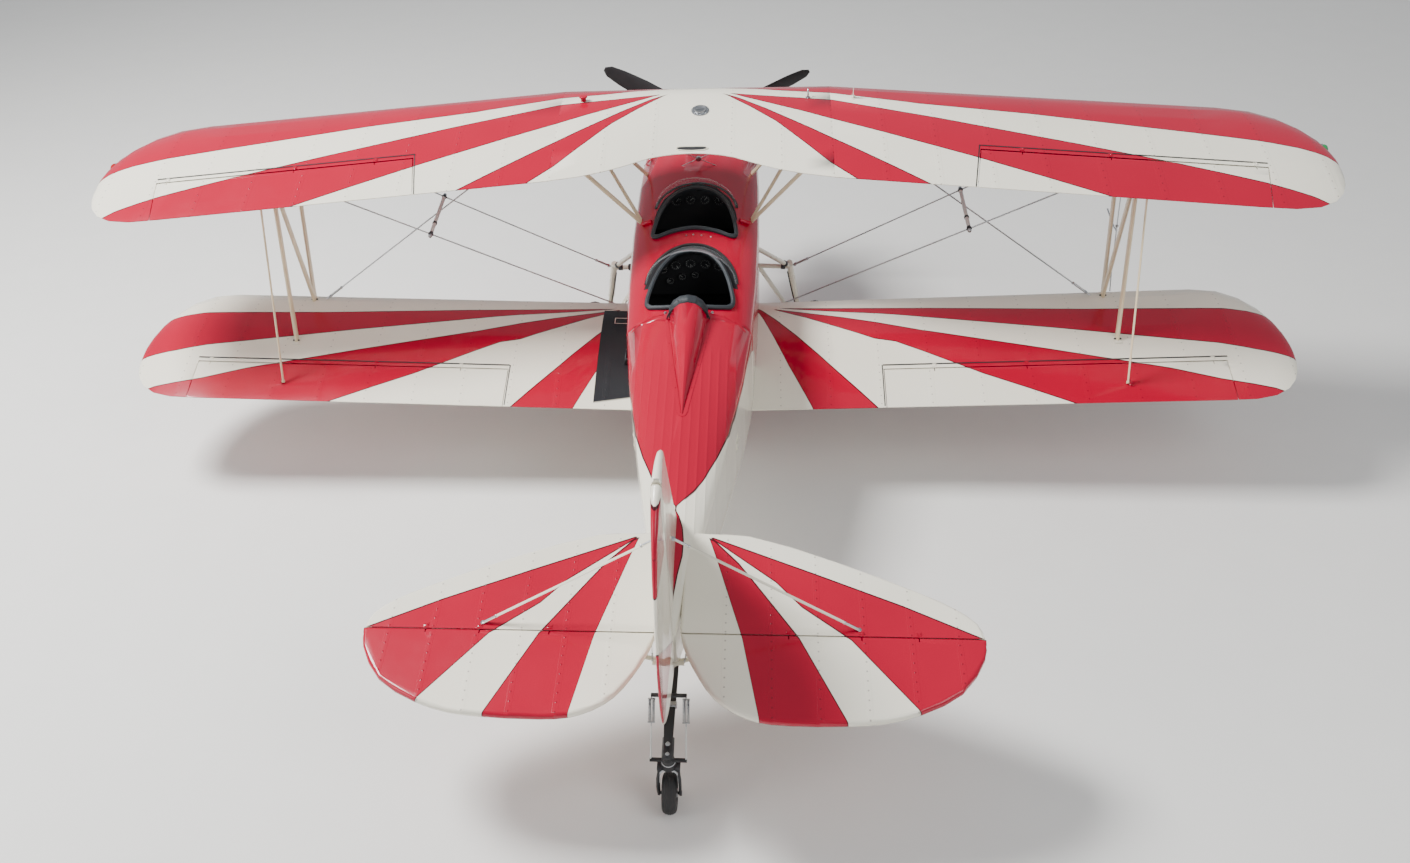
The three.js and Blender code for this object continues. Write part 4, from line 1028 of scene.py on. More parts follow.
# Sewn edge rolls of the cockpits
rims = {
    "radius": 0.015,
    "lift": 0.009,
    "shadedFrom": 0.40,      # the front roll is painted black from here forward, as painted shade under the upper wing
    "front": [
        (0, 0.775), (0.110, 0.742), (0.190, 0.662), (0.240, 0.550), (0.270, 0.425), (0.288, 0.305),
        (0.291, 0.232), (0.272, 0.203), (0.235, 0.205), (0.150, 0.236), (0, 0.262),
    ],
    "rear": [
        (0, -0.008), (0.090, -0.030), (0.150, -0.082), (0.205, -0.170), (0.244, -0.285), (0.270, -0.410),
        (0.284, -0.530), (0.266, -0.588), (0.225, -0.605), (0.150, -0.622), (0, -0.630),
    ],
}


# Even steps along a smooth closed curve through the points of one half and their mirror images
def openingLoop(half, count):
    ring = [Vector(p) for p in half] + [Vector((-x, y)) for x, y in reversed(half[1:-1])]
    dense = []
    for i in range(len(ring)):
        p0, p1, p2, p3 = (ring[(i + k - 1) % len(ring)] for k in range(4))
        for step in range(12):
            t = step / 12
            dense.append(0.5 * (2 * p1 + (p2 - p0) * t + (2 * p0 - 5 * p1 + 4 * p2 - p3) * t * t
                                + (3 * p1 - p0 - 3 * p2 + p3) * t ** 3))
    lengths = [0.0]
    for a, b in zip(dense, dense[1:] + dense[:1]):
        lengths.append(lengths[-1] + (b - a).length)
    loop = []
    for i in range(count):
        want = lengths[-1] * i / count
        k = max(j for j, total in enumerate(lengths[:-1]) if total <= want)
        part = (want - lengths[k]) / max(lengths[k + 1] - lengths[k], 1e-9)
        loop.append(dense[k].lerp(dense[(k + 1) % len(dense)], part))
    return loop


def rimPath(name, count):
    loop = openingLoop(rims[name], count)
    return [Vector((p.x, p.y, deckHeight(p.x, p.y) + rims["lift"])) for p in loop]


def rimFrames(name, count):
    path = rimPath(name, count)
    frames = []
    for i, place in enumerate(path):
        along = (path[(i + 1) % count] - path[i - 1]).normalized()
        side = Vector((along.y, -along.x, 0)).normalized()
        frames.append((place, side, side.cross(along).normalized()))
    return frames


def makeRim(name):
    count, around = 120, 16
    frames = rimFrames(name, count)
    deselectAll()
    bpy.ops.mesh.primitive_torus_add(
        major_segments=count, minor_segments=around, major_radius=1.0, minor_radius=rims["radius"])
    obj = bpy.context.object
    for vertex in obj.data.vertices:
        turn = math.atan2(vertex.co.y, vertex.co.x) / (2 * math.pi) * count
        place, side, up = frames[round(turn) % count]
        out = math.hypot(vertex.co.x, vertex.co.y) - 1.0
        pucker = 1 - 0.035 * abs(math.sin(turn * math.pi / 6)) ** 6
        at = place + (side * out + up * vertex.co.z) * pucker
        at.z = max(at.z, deckHeight(at.x, at.y) + 0.0004)
        vertex.co = level(*at)
    complete(obj, f"rimRoll.{name}", "leather", angle=60)
    # painted shade: the front of the front roll is black
    if name == "front":
        paintFaces(obj, "black", lambda at: at.y > rims["shadedFrom"])
    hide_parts(f"cockpit_rim_{name}")
    # two sewn seams along the roll
    seams = []
    for out, up in ((0.0115, 0.0085), (0.0035, 0.0142)):
        path = [place + side * out + above * up for place, side, above in frames]
        seams.append(startTube(placed(path), 0.0014, sides=6, closed=True))
    complete(seams, f"rimSeam.{name}", "thread")


for opening in ("front", "rear"):
    makeRim(opening)

# Windscreens: a thin frame round each pane and a black foot strip on the deck
screens = {
    "front": {"y": 0.560, "half": 0.292, "bow": 0.290, "rise": 0.175},
    "rear": {"y": -0.345, "half": 0.306, "bow": 0.424, "rise": 0.190},
    "lean": 0.006, "archBow": 0.070, "steps": 32, "turn": 0.96, "edge": 0.0022, "strip": (0.020, 0.003),
}


def makeScreenFrame(name):
    shape, steps = screens[name], screens["steps"]
    feet, crowns = [], []
    for i in range(steps + 1):
        angle = math.pi * (i / steps - 0.5) * screens["turn"]
        across, forward = math.sin(angle), math.cos(angle)
        x, y = shape["half"] * across, shape["y"] + shape["bow"] * forward
        feet.append(level(x, y, deckHeight(x, y) + 0.002))
        height = deckHeight(x, shape["y"]) + 0.012 + shape["rise"] * forward ** 0.8
        crowns.append(
            level(
                (shape["half"] - screens["lean"]) * across, shape["y"] + screens["archBow"] * forward,
                height))
    edge = startTube(crowns, screens["edge"], sides=8)
    complete(edge, f"screenEdge.{name}", "glass", "clear")
    rows = []
    for i, foot in enumerate(feet):
        along = feet[min(i + 1, steps)] - feet[max(i - 1, 0)]
        rows.append((foot, along.cross(upAxis)))
    strip = startStrip(rows, *screens["strip"])
    complete(strip, f"screenFoot.{name}", "black", "panel_black")
    places = [(feet[i] + heading(0, 0, 0.001), upAxis) for i in range(1, steps, 3)]
    screws = joined(copies(startScrew(0.0035), places))
    complete(screws, f"screenScrews.{name}", "darkSteel")


for opening in ("front", "rear"):
    makeScreenFrame(opening)
print("rims and windscreens are made")

# Padded pieces: remeshed, then swollen a little by a cloth run
cushions = {
    "voxel": 0.006, "pressure": 4.0, "frames": 20,
    "pan": {"size": (0.36, 0.40, 0.062), "cap": 0.010},
    "back": {"size": (0.36, 0.062, 0.25), "cap": 0.008},
    "seats": {"front": 0.210, "rear": -0.655},     # back faces of the seats
    "floor": -1.4207, "panHeight": 0.25, "corner": 0.022,
    "channels": (-0.12, 0.0, 0.12), "channelWidth": 0.012,
}


def puff(obj, cap):
    modify(obj, "REMESH", mode="VOXEL", voxel_size=cushions["voxel"])
    rest = [vertex.co.copy() for vertex in obj.data.vertices]
    cloth = obj.modifiers.new("cloth", "CLOTH")
    cloth.settings.use_pressure = True
    cloth.settings.uniform_pressure_force = cushions["pressure"]
    cloth.settings.effector_weights.gravity = 0
    for number in range(1, cushions["frames"] + 1):
        bpy.context.scene.frame_set(number)
    choose(obj)
    bpy.ops.object.modifier_apply(modifier=cloth.name)
    bpy.context.scene.frame_set(1)
    for vertex, before in zip(obj.data.vertices, rest):
        moved = vertex.co - before
        if moved.length > cap:
            vertex.co = before + moved.normalized() * cap
    return modify(obj, "SUBSURF", levels=1, render_levels=1)


def makeCushion(name, kind):
    shape = cushions[kind]
    aft = cushions["seats"][name]
    width, depth, height = shape["size"]
    pan = cushions["floor"] + cushions["panHeight"]
    if kind == "pan":
        at = (0, aft + 0.085 + depth / 2, pan + height / 2 + 0.004)
    else:
        at = (0, aft + 0.077 + depth / 2, pan + 0.085 + height / 2)
    block = startBlock((width, depth, height), (0, 0, 0), tilt=0)
    soften(block, cushions["corner"], 4)
    puff(block, shape["cap"])
    # sewn channels pull the top in
    wide = cushions["channelWidth"]
    for vertex in block.data.vertices:
        pull = sum(math.exp(-((vertex.co.x - x) / wide) ** 2) for x in cushions["channels"])
        if kind == "pan" and vertex.co.z > 0:
            vertex.co.z -= pull * 0.007
        if kind == "back" and vertex.co.y > 0:
            vertex.co.y -= pull * 0.006
        vertex.co = level(*(vertex.co + Vector(at)))
    complete(block, f"cushion.{name}.{kind}", "seatFabric", "seat_shell", angle=70)


for name in ("front", "rear"):
    for kind in ("pan", "back"):
        makeCushion(name, kind)

headPad = skins["headrest_pad"]
choose(headPad)
puff(headPad, 0.006)
complete(headPad, "headrest_pad.skin", "leather", angle=70)


padTrim = {
    "y": -0.7345, "foot": -0.615, "half": 0.139, "rise": 0.152, "welt": 0.005, "bolts": (0.152, -0.665),
}


# A dark welt where the pad meets its fairing, and the two bolts at the pad's feet
def makePadTrim():
    points = []
    y = padTrim["y"]
    for i in range(25):
        angle = math.pi * i / 24
        x, rise = padTrim["half"] * math.cos(angle), padTrim["rise"] * math.sin(angle) ** 0.8
        points.append(level(x, y, max(padTrim["foot"] + rise, deckHeight(x, y) + 0.004)))
    complete(startTube(points, padTrim["welt"], sides=8), "padWelt", "black")
    x, y = padTrim["bolts"]
    places = [(level(sign * x, y, deckHeight(x, y)), upAxis) for sign in (-1, 1)]
    complete(copies(startBolt(0.008), places), "padBolts", "steel")


makePadTrim()
print("padded pieces are made")


# Inside the cockpits: dials, stick, throttle and harness
dials = {
    # x, z, radius on the level panel
    "front": [
        (-0.155, -0.700, 0.040), (-0.052, -0.690, 0.040), (0.052, -0.690, 0.040), (0.155, -0.700, 0.040),
    ],
    "rear": [
        (-0.215, -0.735, 0.040), (-0.120, -0.700, 0.040), (-0.020, -0.685, 0.040), (0.080, -0.690, 0.040),
        (0.175, -0.715, 0.040), (-0.165, -0.835, 0.030), (-0.080, -0.800, 0.030), (0.010, -0.785, 0.030),
    ],
    "panelFace": {"front": 0.793, "rear": 0.010},
    "rim": 0.12, "plate": 0.86, "ticksAt": 0.72, "tick": 0.16, "pointerAt": 0.30, "pointer": 0.75,
}


def makeDials(name):
    face = dials["panelFace"][name]
    bezels, plates, marks = [], [], []
    for x, z, radius in dials[name]:
        aft = heading(0, -1, 0)
        ring = startRound(radius, 0.010, level(x, face - 0.005, z), aft, 28)
        settle(ring)
        press(ring, lambda at, normal: normal.dot(aft) > 0.9, (radius * dials["rim"], aft * -0.004))
        bezels.append(ring)
        plates.append(startRound(radius * dials["plate"], 0.001, level(x, face - 0.0070, z), aft, 28))
        out = radius * dials["ticksAt"]
        for angle in allRound(12):
            at = level(x + out * math.sin(angle), face - 0.0080, z + out * math.cos(angle))
            mark = startBlock((0.0016, 0.0008, radius * dials["tick"]), at)
            mark.rotation_euler = (parked["tilt"], angle, 0)
            marks.append(settle(mark))
        turn = math.radians(37 * (x + z) * 90)
        reach = radius * dials["pointerAt"]
        at = level(x + reach * math.sin(turn), face - 0.0090, z + reach * math.cos(turn))
        pointer = startBlock((0.0022, 0.0008, radius * dials["pointer"]), at)
        pointer.rotation_euler = (parked["tilt"], turn, 0)
        marks.append(settle(pointer))
    complete(bezels, f"dialBezels.{name}", "crackle")
    complete(plates, f"dialFaces.{name}", "black", "panel_black")
    complete(marks, f"dialMarks.{name}", "dialWhite", "panel_black")


stickPlaces = {"front": 0.80, "rear": -0.075}


def makeControls(name):
    y, floor = stickPlaces[name], cushions["floor"]
    path = [
        (0, y, floor + 0.01), (0, y, floor + 0.16), (0, y - 0.02, floor + 0.30),
        (0, y - 0.045, floor + 0.40),
    ]
    stick = startTube(placed(path), 0.010, sides=12)
    collar = startRound(0.026, 0.03, level(0, y, floor + 0.018), upAxis, 20)
    soften(collar, 0.006, 3)
    complete([stick, collar], f"stick.{name}", "steel")
    grip = startRound(0.017, 0.12, level(0, y - 0.055, floor + 0.455), heading(0, -0.16, 1), 20)
    modify(settle(grip), "SUBSURF", subdivision_type="SIMPLE", levels=3, render_levels=3)
    axis, middle = heading(0, -0.16, 1).normalized(), level(0, y - 0.055, floor + 0.455)
    for vertex in grip.data.vertices:
        along = (vertex.co - middle).dot(axis)
        core = middle + axis * along
        vertex.co = core + (vertex.co - core) * (1 + 0.10 * math.cos(along * 2 * math.pi / 0.028))
    soften(grip, 0.004, 2, 60)
    complete(grip, f"grip.{name}", "rubber", angle=60)
    # lap and shoulder straps over the cushions, with their buckle
    seat = cushions["seats"][name]
    pan = floor + cushions["panHeight"]
    straps = []
    for sign in (-1, 1):
        drop = [
            (0.085, 0.06, 0.34), (0.085, 0.115, 0.33), (0.088, 0.150, 0.24), (0.082, 0.155, 0.15),
            (0.060, 0.18, 0.092), (0.035, 0.25, 0.086),
        ]
        rows = [(level(sign * x, seat + y, pan + z), sideAxis) for x, y, z in drop]
        straps.append(startStrip(rows, 0.044, 0.0025))
        lap = [(0.178, 0.12, 0.02), (0.176, 0.17, 0.082), (0.12, 0.22, 0.088), (0.035, 0.262, 0.090)]
        rows = [(level(sign * x, seat + y, pan + z), heading(0, 1, 0.15)) for x, y, z in lap]
        straps.append(startStrip(rows, 0.046, 0.0025))
    webbing = joined(straps)
    modify(webbing, "SUBSURF", levels=2, render_levels=2)
    complete(webbing, f"harness.{name}", "webbing", angle=60)
    buckle = startBlock((0.072, 0.052, 0.010), level(0, seat + 0.258, pan + 0.096))
    soften(buckle, 0.003, 2)
    press(buckle, lambda at, normal: normal.dot(upAxis) > 0.95, (0.009, heading(0, 0, -0.002)))
    complete(buckle, f"buckle.{name}", "steel")
    # throttle on the left wall
    wall = sectionAt(y)[1] - 0.03
    lever = startTube(
        [
            level(-wall, y + 0.05, -0.93), level(-wall + 0.045, y + 0.07, -0.90),
            level(-wall + 0.05, y + 0.08, -0.84)],
        0.005)
    plate = startBlock((0.006, 0.16, 0.07), level(-wall - 0.001, y + 0.06, -0.93))
    soften(plate, 0.0015, 1)
    complete([lever, plate], f"throttle.{name}", "steel")
    deselectAll()
    bpy.ops.mesh.primitive_uv_sphere_add(
        segments=20, ring_count=12, radius=0.016, location=level(-wall + 0.051, y + 0.082, -0.83))
    knob = bpy.context.object
    pickFaces(knob, lambda at, normal: normal.z < -0.8)
    bpy.ops.transform.translate(value=(0, 0, -0.006))
    bpy.ops.object.mode_set(mode="OBJECT")
    complete(knob, f"throttleKnob.{name}", "redMetal", angle=60)


for name in ("front", "rear"):
    makeDials(name)
    makeControls(name)
print("cockpits are fitted out")


# Strips and seams that lie on the rear deck
def deckStrip(name, path, width, thick, screwEvery=0):
    rows = []
    for i, (x, y) in enumerate(path):
        ahead, behind = path[min(i + 1, len(path) - 1)], path[max(i - 1, 0)]
        side = Vector((ahead[1] - behind[1], behind[0] - ahead[0])).normalized()
        a = Vector((x + side.x * 0.01, y + side.y * 0.01))
        b = Vector((x - side.x * 0.01, y - side.y * 0.01))
        across = level(a.x, a.y, deckHeight(a.x, a.y)) - level(b.x, b.y, deckHeight(b.x, b.y))
        rows.append((level(x, y, deckHeight(x, y) + 0.0012), across))
    complete(startStrip(rows, width, thick), name, "redMetal", angle=50)
    if screwEvery:
        places = [(rows[i][0] + heading(0, 0, 0.0002), upAxis) for i in range(1, len(rows) - 1, screwEvery)]
        complete(copies(startScrew(0.0032), places), f"{name}.screws", "redMetal")


def spread(points, count):
    total = [0.0]
    for a, b in zip(points, points[1:]):
        total.append(total[-1] + math.dist(a, b))
    path = []
    for i in range(count):
        want = total[-1] * i / (count - 1)
        k = min(max(j for j, t in enumerate(total) if t <= want + 1e-9), len(points) - 2)
        path.append(between(points[k], points[k + 1], (want - total[k]) / (total[k + 1] - total[k])))
    return path


deck = {
    "seam": [(-0.368, -0.768), (-0.32, -0.725), (-0.238, -0.685), (-0.155, -0.674)],
    "flange": [(0.140, -0.742), (0.112, -0.955), (0.083, -1.175), (0.045, -1.42), (0.020, -1.60)],
}

for sign, side in sides:
    line = spread([(-sign * x, y) for x, y in deck["seam"]], 20)
    deckStrip(f"deckSeam.{side}", line, 0.016, 0.0012, 6)
    line = spread([(sign * x, y) for x, y in deck["flange"]], 30)
    deckStrip(f"fairingFlange.{side}", line, 0.024, 0.0014, 7)
tail = [(0.020 * math.cos(math.pi * i / 8), -1.60 - 0.028 * math.sin(math.pi * i / 8)) for i in range(9)]
deckStrip("fairingFlange.tail", tail, 0.020, 0.0014)
snaps = []
for x in (-0.052, -0.004, 0.052, 0.118):
    y = 0.192 - abs(x) * 0.18
    snaps.append((level(x, y, deckHeight(x, y)), upAxis))
complete(copies(startScrew(0.006), snaps), "snapFasteners", "steel")


# Fittings of the struts
def startCuff(a, b, thick, chord, length, start):
    a, b = level(*a), level(*b)
    along = (b - a).normalized()
    cuff = startRound(1.0, length, (0, 0, 0), vertices=20)
    cuff.scale = (thick / 2, chord / 2, 1)
    settle(cuff)
    soften(cuff, 0.003, 2)
    deep = noseAxis - along * noseAxis.dot(along)
    deep.normalize()
    turn = Matrix((deep.cross(along), deep, along)).transposed().to_4x4()
    cuff.data.transform(Matrix.Translation(a + along * (start + length / 2)) @ turn)
    return cuff


interplane = {
    "x": 2.875, "top": -0.035, "foot": -1.192, "cuff": (0.027, 0.052, 0.040), "pad": (0.050, 0.080, 0.005),
    "runs": [
        ((0.250, "foot"), (0.640, "top")), ((-0.250, "foot"), (0.125, "top")),
        ((0.250, "foot"), (0.125, "top")),
    ],
}
cabane = {
    "frontFoot": (0.363, 1.15, -0.74), "rearFoot": (0.384, 0.50, -0.70),
    "frontTop": (0.868, 0.96, -0.02), "rearTop": (0.868, 0.34, -0.02),
}


def makeStrutFittings(side, sign):
    cuffs, pads, bolts = [], [], []
    x = interplane["x"] * sign
    for (y0, end0), (y1, end1) in interplane["runs"]:
        foot, top = (x, y0, interplane[end0]), (x, y1, interplane[end1])
        cuffs.append(startCuff(foot, top, *interplane["cuff"], 0.006))
        cuffs.append(startCuff(top, foot, *interplane["cuff"], 0.014))
    for y in (0.250, -0.250):
        base = skinHeight("lower", interplane["x"], y)
        pad = startBlock(interplane["pad"], level(x, y, base + 0.001))
        pads.append(soften(pad, 0.002, 2))
        bolts += [(level(x + dx, y, base + 0.004), upAxis) for dx in (-0.018, 0.018)]
    for y in (0.640, 0.125):
        base = skinHeight("upper", interplane["x"], y, -1)
        pad = startBlock(interplane["pad"], level(x, y, base - 0.001))
        cuffs.append(soften(pad, 0.002, 2))
    complete(cuffs, f"strutFittings.{side}", "strutPaint")
    complete(pads, f"strutPads.{side}", "lowerWing")
    complete(copies(startBolt(0.006), bolts), f"strutBolts.{side}", "darkSteel")
    cuffs = []
    for low, high in (("frontFoot", "frontTop"), ("rearFoot", "rearTop"), ("rearFoot", "frontTop")):
        cuffs.append(
            startCuff(mirrorX(cabane[high], sign), mirrorX(cabane[low], sign), 0.026, 0.050, 0.05, 0.045))
    complete(cuffs, f"cabaneFittings.{side}", "strutPaint")
    # red cuffs over the feet of the rear cabane struts
    cuff = startRound(
        0.017, 0.075, level(sign * 0.345, 0.425, deckHeight(0.345, 0.425) + 0.008),
        heading(sign, 0.1, -0.45), 24)
    settle(cuff)
    press(cuff, lambda at, normal: normal.x * sign > 0.9, (0.005, (sign * 0.007, 0, 0)))
    soften(cuff, 0.003, 2)
    complete(cuff, f"cabaneCuff.{side}", "redMetal")
    front = mirrorX(cabane["frontFoot"], sign)
    boot = startCuff(front, mirrorX(cabane["frontTop"], sign), 0.036, 0.070, 0.05, 0.0)
    complete(boot, f"cabaneBoot.{side}", "redMetal")


for sign, side in sides:
    makeStrutFittings(side, sign)

# Rigging: end fittings, tie rod clamps and the wires that the solids leave out
rigging = {
    "flying": [
        ((0.689, 0.950, -1.428), (2.800, 0.650, -0.020)),
        ((0.452, 0.520, -1.545), (2.800, 0.110, -0.010)),
        ((2.800, 0.270, -1.198), (0.900, 0.930, -0.010)),
    ],
    "tieRodX": 1.888,
    "tail": [((0.010, -3.000, -0.090), (0.975, -3.140, -0.636))],
    "crossed": [
        ((-0.363, 1.150, -0.740), (0.868, 0.960, -0.030)),
        ((0.363, 1.150, -0.740), (-0.868, 0.960, -0.030)),
    ],
}


def startTerminal(a, b, start, size=1.0):
    a, b = level(*a), level(*b)
    along = (b - a).normalized()
    barrel = startRound(0.0085 * size, 0.085 * size, a + along * (start + 0.042 * size), along, 12)
    settle(barrel)
    pickFaces(barrel, lambda at, normal: abs(normal.dot(along)) > 0.9)
    bpy.ops.mesh.inset(thickness=0.0025 * size)
    bpy.ops.mesh.extrude_region_shrink_fatten(TRANSFORM_OT_shrink_fatten={"value": 0.012 * size})
    bpy.ops.object.mode_set(mode="OBJECT")
    nut = startRound(0.012 * size, 0.012 * size, a + along * (start + 0.098 * size), along, 6)
    fork = startRound(
        0.016 * size, 0.010 * size, a + along * (start - 0.012 * size), along.cross(heading(0, 1, 0.1)),
        16)
    return joined([barrel, soften(nut, 0.001), soften(fork, 0.002)])


def makeRigging(side, sign):
    ends = []
    for a, b in rigging["flying"]:
        a, b = mirrorX(a, sign), mirrorX(b, sign)
        ends += [startTerminal(a, b, 0.06), startTerminal(b, a, 0.10)]
    complete(ends, f"wireEnds.{side}", "steel")
    ends = []
    for a, b in rigging["tail"]:
        a, b = mirrorX(a, sign), mirrorX(b, sign)
        ends += [startTerminal(a, b, 0.045, 0.8), startTerminal(b, a, 0.03, 0.8)]
    complete(ends, f"tailWireEnds.{side}", "steel")
    # the tie rod: a white fairing in the middle and dark clamps where it meets the wires
    front, rear = rigging["flying"][:2]
    part = [(rigging["tieRodX"] - a[0]) / (b[0] - a[0]) for a, b in (front, rear)]
    low, high = mirrorX(between(*rear, part[1]), sign), mirrorX(between(*front, part[0]), sign)
    clamps = []
    for at, other in ((low, high), (high, low)):
        along = (level(*other) - level(*at)).normalized()
        clamp = startRound(0.0165, 0.03, level(*at) + along * 0.004, along, 18)
        clamps.append(soften(clamp, 0.003, 2))
        cross = startRound(0.008, 0.04, level(*at), heading(sign * 0.83, -0.1, 0.55), 12)
        clamps.append(soften(cross, 0.002, 1))
    collar = startRound(
        0.0175, 0.022, level(*between(low, high, 0.28)), (level(*high) - level(*low)).normalized(), 18)
    clamps.append(soften(collar, 0.003, 2))
    sleeve = startTube([level(*between(low, high, part)) for part in (0.03, 0.5, 0.97)], 0.0135, sides=16)
    complete(sleeve, f"tieRodFairing.{side}", "dialWhite", "fabric_cream")
    complete(clamps, f"tieRodClamps.{side}", "darkSteel")


for sign, side in sides:
    makeRigging(side, sign)
braces = []
for a, b in rigging["crossed"]:
    a, b = between(a, b, 0.035), between(a, b, 0.965)
    braces.append(startTube([level(*a), level(*b)], 0.0028, sides=8))
    braces.append(startTerminal(a, b, 0.03, 0.6))
    braces.append(startTerminal(b, a, 0.03, 0.6))
hub = startRound(0.022, 0.014, level(0, 1.094, -0.531), noseAxis, 20)
braces.append(soften(hub, 0.003, 2))
complete(braces, "cabaneCrossWires", "steel")
print("struts and rigging are fitted")


# Hinge fittings beside the gaps of the control surfaces
hinges = {
    "upper": {"stations": (2.140, 2.680, 3.530), "chord": 0.343},
    "lower": {"stations": (1.640, 2.250, 3.450), "chord": 0.308},
    "tail": {"stations": (0.605, 0.966, 1.247), "y": -3.190, "top": -0.628},
    "plate": (0.026, 0.024, 0.0025),
}


def startHingePlate():
    plate = startBlock(hinges["plate"], (0, 0, hinges["plate"][2] / 2), tilt=0)
    soften(plate, 0.0009, 2)
    screws = copies(
        startScrew(0.003), [((sign * 0.007, 0, hinges["plate"][2]), (0, 0, 1)) for sign in (-1, 1)])
    return joined([plate] + screws)


def slopeUp(deckName, x, y):
    step = 0.02
    rise = (skinHeight(deckName, x, y + step) - skinHeight(deckName, x, y - step)) / (2 * step)
    return heading(0, -rise, 1)


for sign, side in sides:
    for deckName in ("upper", "lower"):
        places = []
        for x in hinges[deckName]["stations"]:
            y = trailingEdge(deckName, x) + hinges[deckName]["chord"] + 0.040
            places.append((level(sign * x, y, skinHeight(deckName, x, y)), slopeUp(deckName, x, y)))
        plates = joined(copies(startHingePlate(), places))
        complete(plates, f"hingePlates.{deckName}.{side}", f"{deckName}Wing", "fabric_cream")
    places = [
        (level(sign * x, hinges["tail"]["y"] + 0.036, hinges["tail"]["top"]), upAxis)
        for x in hinges["tail"]["stations"]]
    plates = joined(copies(startHingePlate(), places))
    complete(plates, f"hingePlates.tail.{side}", "tail", "fabric_cream")

# Black strips on the skin ahead of and beside the ailerons: painted shade that darkens the gaps
gaps = {
    "upper": {
        "inner": 1.876, "outer": 3.604, "near": 0.2535, "far": -0.0135, "hinge": 0.198, "slant": 0.155,
    },
    "lower": {"inner": 1.296, "outer": 3.544, "near": -0.430, "far": -0.430, "hinge": -0.45, "slant": 0.0},
    "wide": 0.012, "lift": 0.0006,
}


def makeGapShades(side, sign):
    strips = []
    for deckName in ("upper", "lower"):
        gap = gaps[deckName]
        rows = []
        for k in range(9):
            x = gap["inner"] + (gap["outer"] - gap["inner"]) * k / 8
            y = gap["near"] + (gap["far"] - gap["near"]) * k / 8
            rows.append((level(sign * x, y, skinHeight(deckName, x, y) + gaps["lift"]), noseAxis))
        strips.append(startStrip(rows, gaps["wide"], 0.0006))
        rows = []
        for k in range(7):
            y = gap["near"] + (trailingEdge(deckName, gap["inner"]) + 0.01 - gap["near"]) * k / 6
            x = gap["inner"] - 0.005 + (y - gap["hinge"]) * gap["slant"]
            rows.append((level(sign * x, y, skinHeight(deckName, x, y) + gaps["lift"]), sideAxis))
        strips.append(startStrip(rows, 0.007, 0.0006))
    # painted shade: the strips are black
    complete(strips, f"gapShades.{side}", "black")


for sign, side in sides:
    makeGapShades(side, sign)
print("hinge fittings are made")

# Small things on the upper wing
wingTop = {
    "cap": {"flange": 0.062, "radius": 0.040, "screws": 0.052, "tab": (0.050, 0.010, 0.006)},
    "tankCap": (0.044, 0.732), "vent": (-0.785, 0.887), "shortVent": (0.787, 0.874),
    "antenna": (1.095, 0.862),
    "slot": {"y": 0.352, "half": 0.105, "deep": 0.018},
    "lightX": 4.040, "lightY": 0.25,
}


def onUpper(x, y, lift=0.0):
    return level(x, y, skinHeight("upper", x, y) + lift)


def makeTankCap():
    x, y = wingTop["tankCap"]
    shape = wingTop["cap"]
    up = slopeUp("upper", x, y)
    flange = startRound(shape["flange"], 0.004, onUpper(x, y, 0.001), up, 40)
    soften(flange, 0.0015, 2)
    cap = startRound(shape["radius"], 0.016, onUpper(x, y, 0.009), up, 32)
    settle(cap)
    press(cap, lambda at, normal: normal.dot(up.normalized()) > 0.9, (0.006, up * -0.003))
    soften(cap, 0.002, 2)
    tab = startBlock(shape["tab"], onUpper(x, y, 0.0155))
    soften(tab, 0.002, 2)
    out = shape["screws"]
    turns = [(onUpper(x + out * math.cos(a), y + out * math.sin(a), 0.003), up) for a in allRound(8)]
    complete([flange, cap, tab] + copies(startScrew(0.004), turns), "tankCap", "steel")


def makeVents():
    x, y = wingTop["vent"]
    stack = startRound(0.020, 0.030, onUpper(x, y, 0.012), slopeUp("upper", x, y), 24)
    soften(stack, 0.006, 3)
    top = startRound(0.030, 0.012, onUpper(x, y, 0.034), slopeUp("upper", x, y), 24)
    complete([stack, soften(top, 0.004, 3)], "tankVent.left", "redMetal")
    x, y = wingTop["shortVent"]
    pipe = [(x, y, 0.0), (x, y, 0.030), (x, y + 0.008, 0.046), (x, y + 0.026, 0.054)]
    points = [level(px, py, skinHeight("upper", x, y) + pz - 0.004) for px, py, pz in pipe]
    foot = startRound(0.016, 0.004, onUpper(x, y, 0.001), slopeUp("upper", x, y), 20)
    complete([startTube(points, 0.0055, sides=12), soften(foot, 0.001)], "tankVent.right", "steel")
    x, y = wingTop["antenna"]
    mast = startRound(1.0, 0.078, (0, 0, 0.039), vertices=16)
    mast.scale = (0.0035, 0.014, 1)
    settle(mast)
    for vertex in mast.data.vertices:
        if vertex.co.z > 0.04:
            vertex.co.x *= 0.6
            vertex.co.y = vertex.co.y * 0.55 - 0.008
    standAt(mast, onUpper(x, y, -0.002))
    foot = startBlock((0.024, 0.060, 0.005), onUpper(x, y, 0.0015))
    complete([mast, soften(foot, 0.0015)], "antenna", "creamMetal")
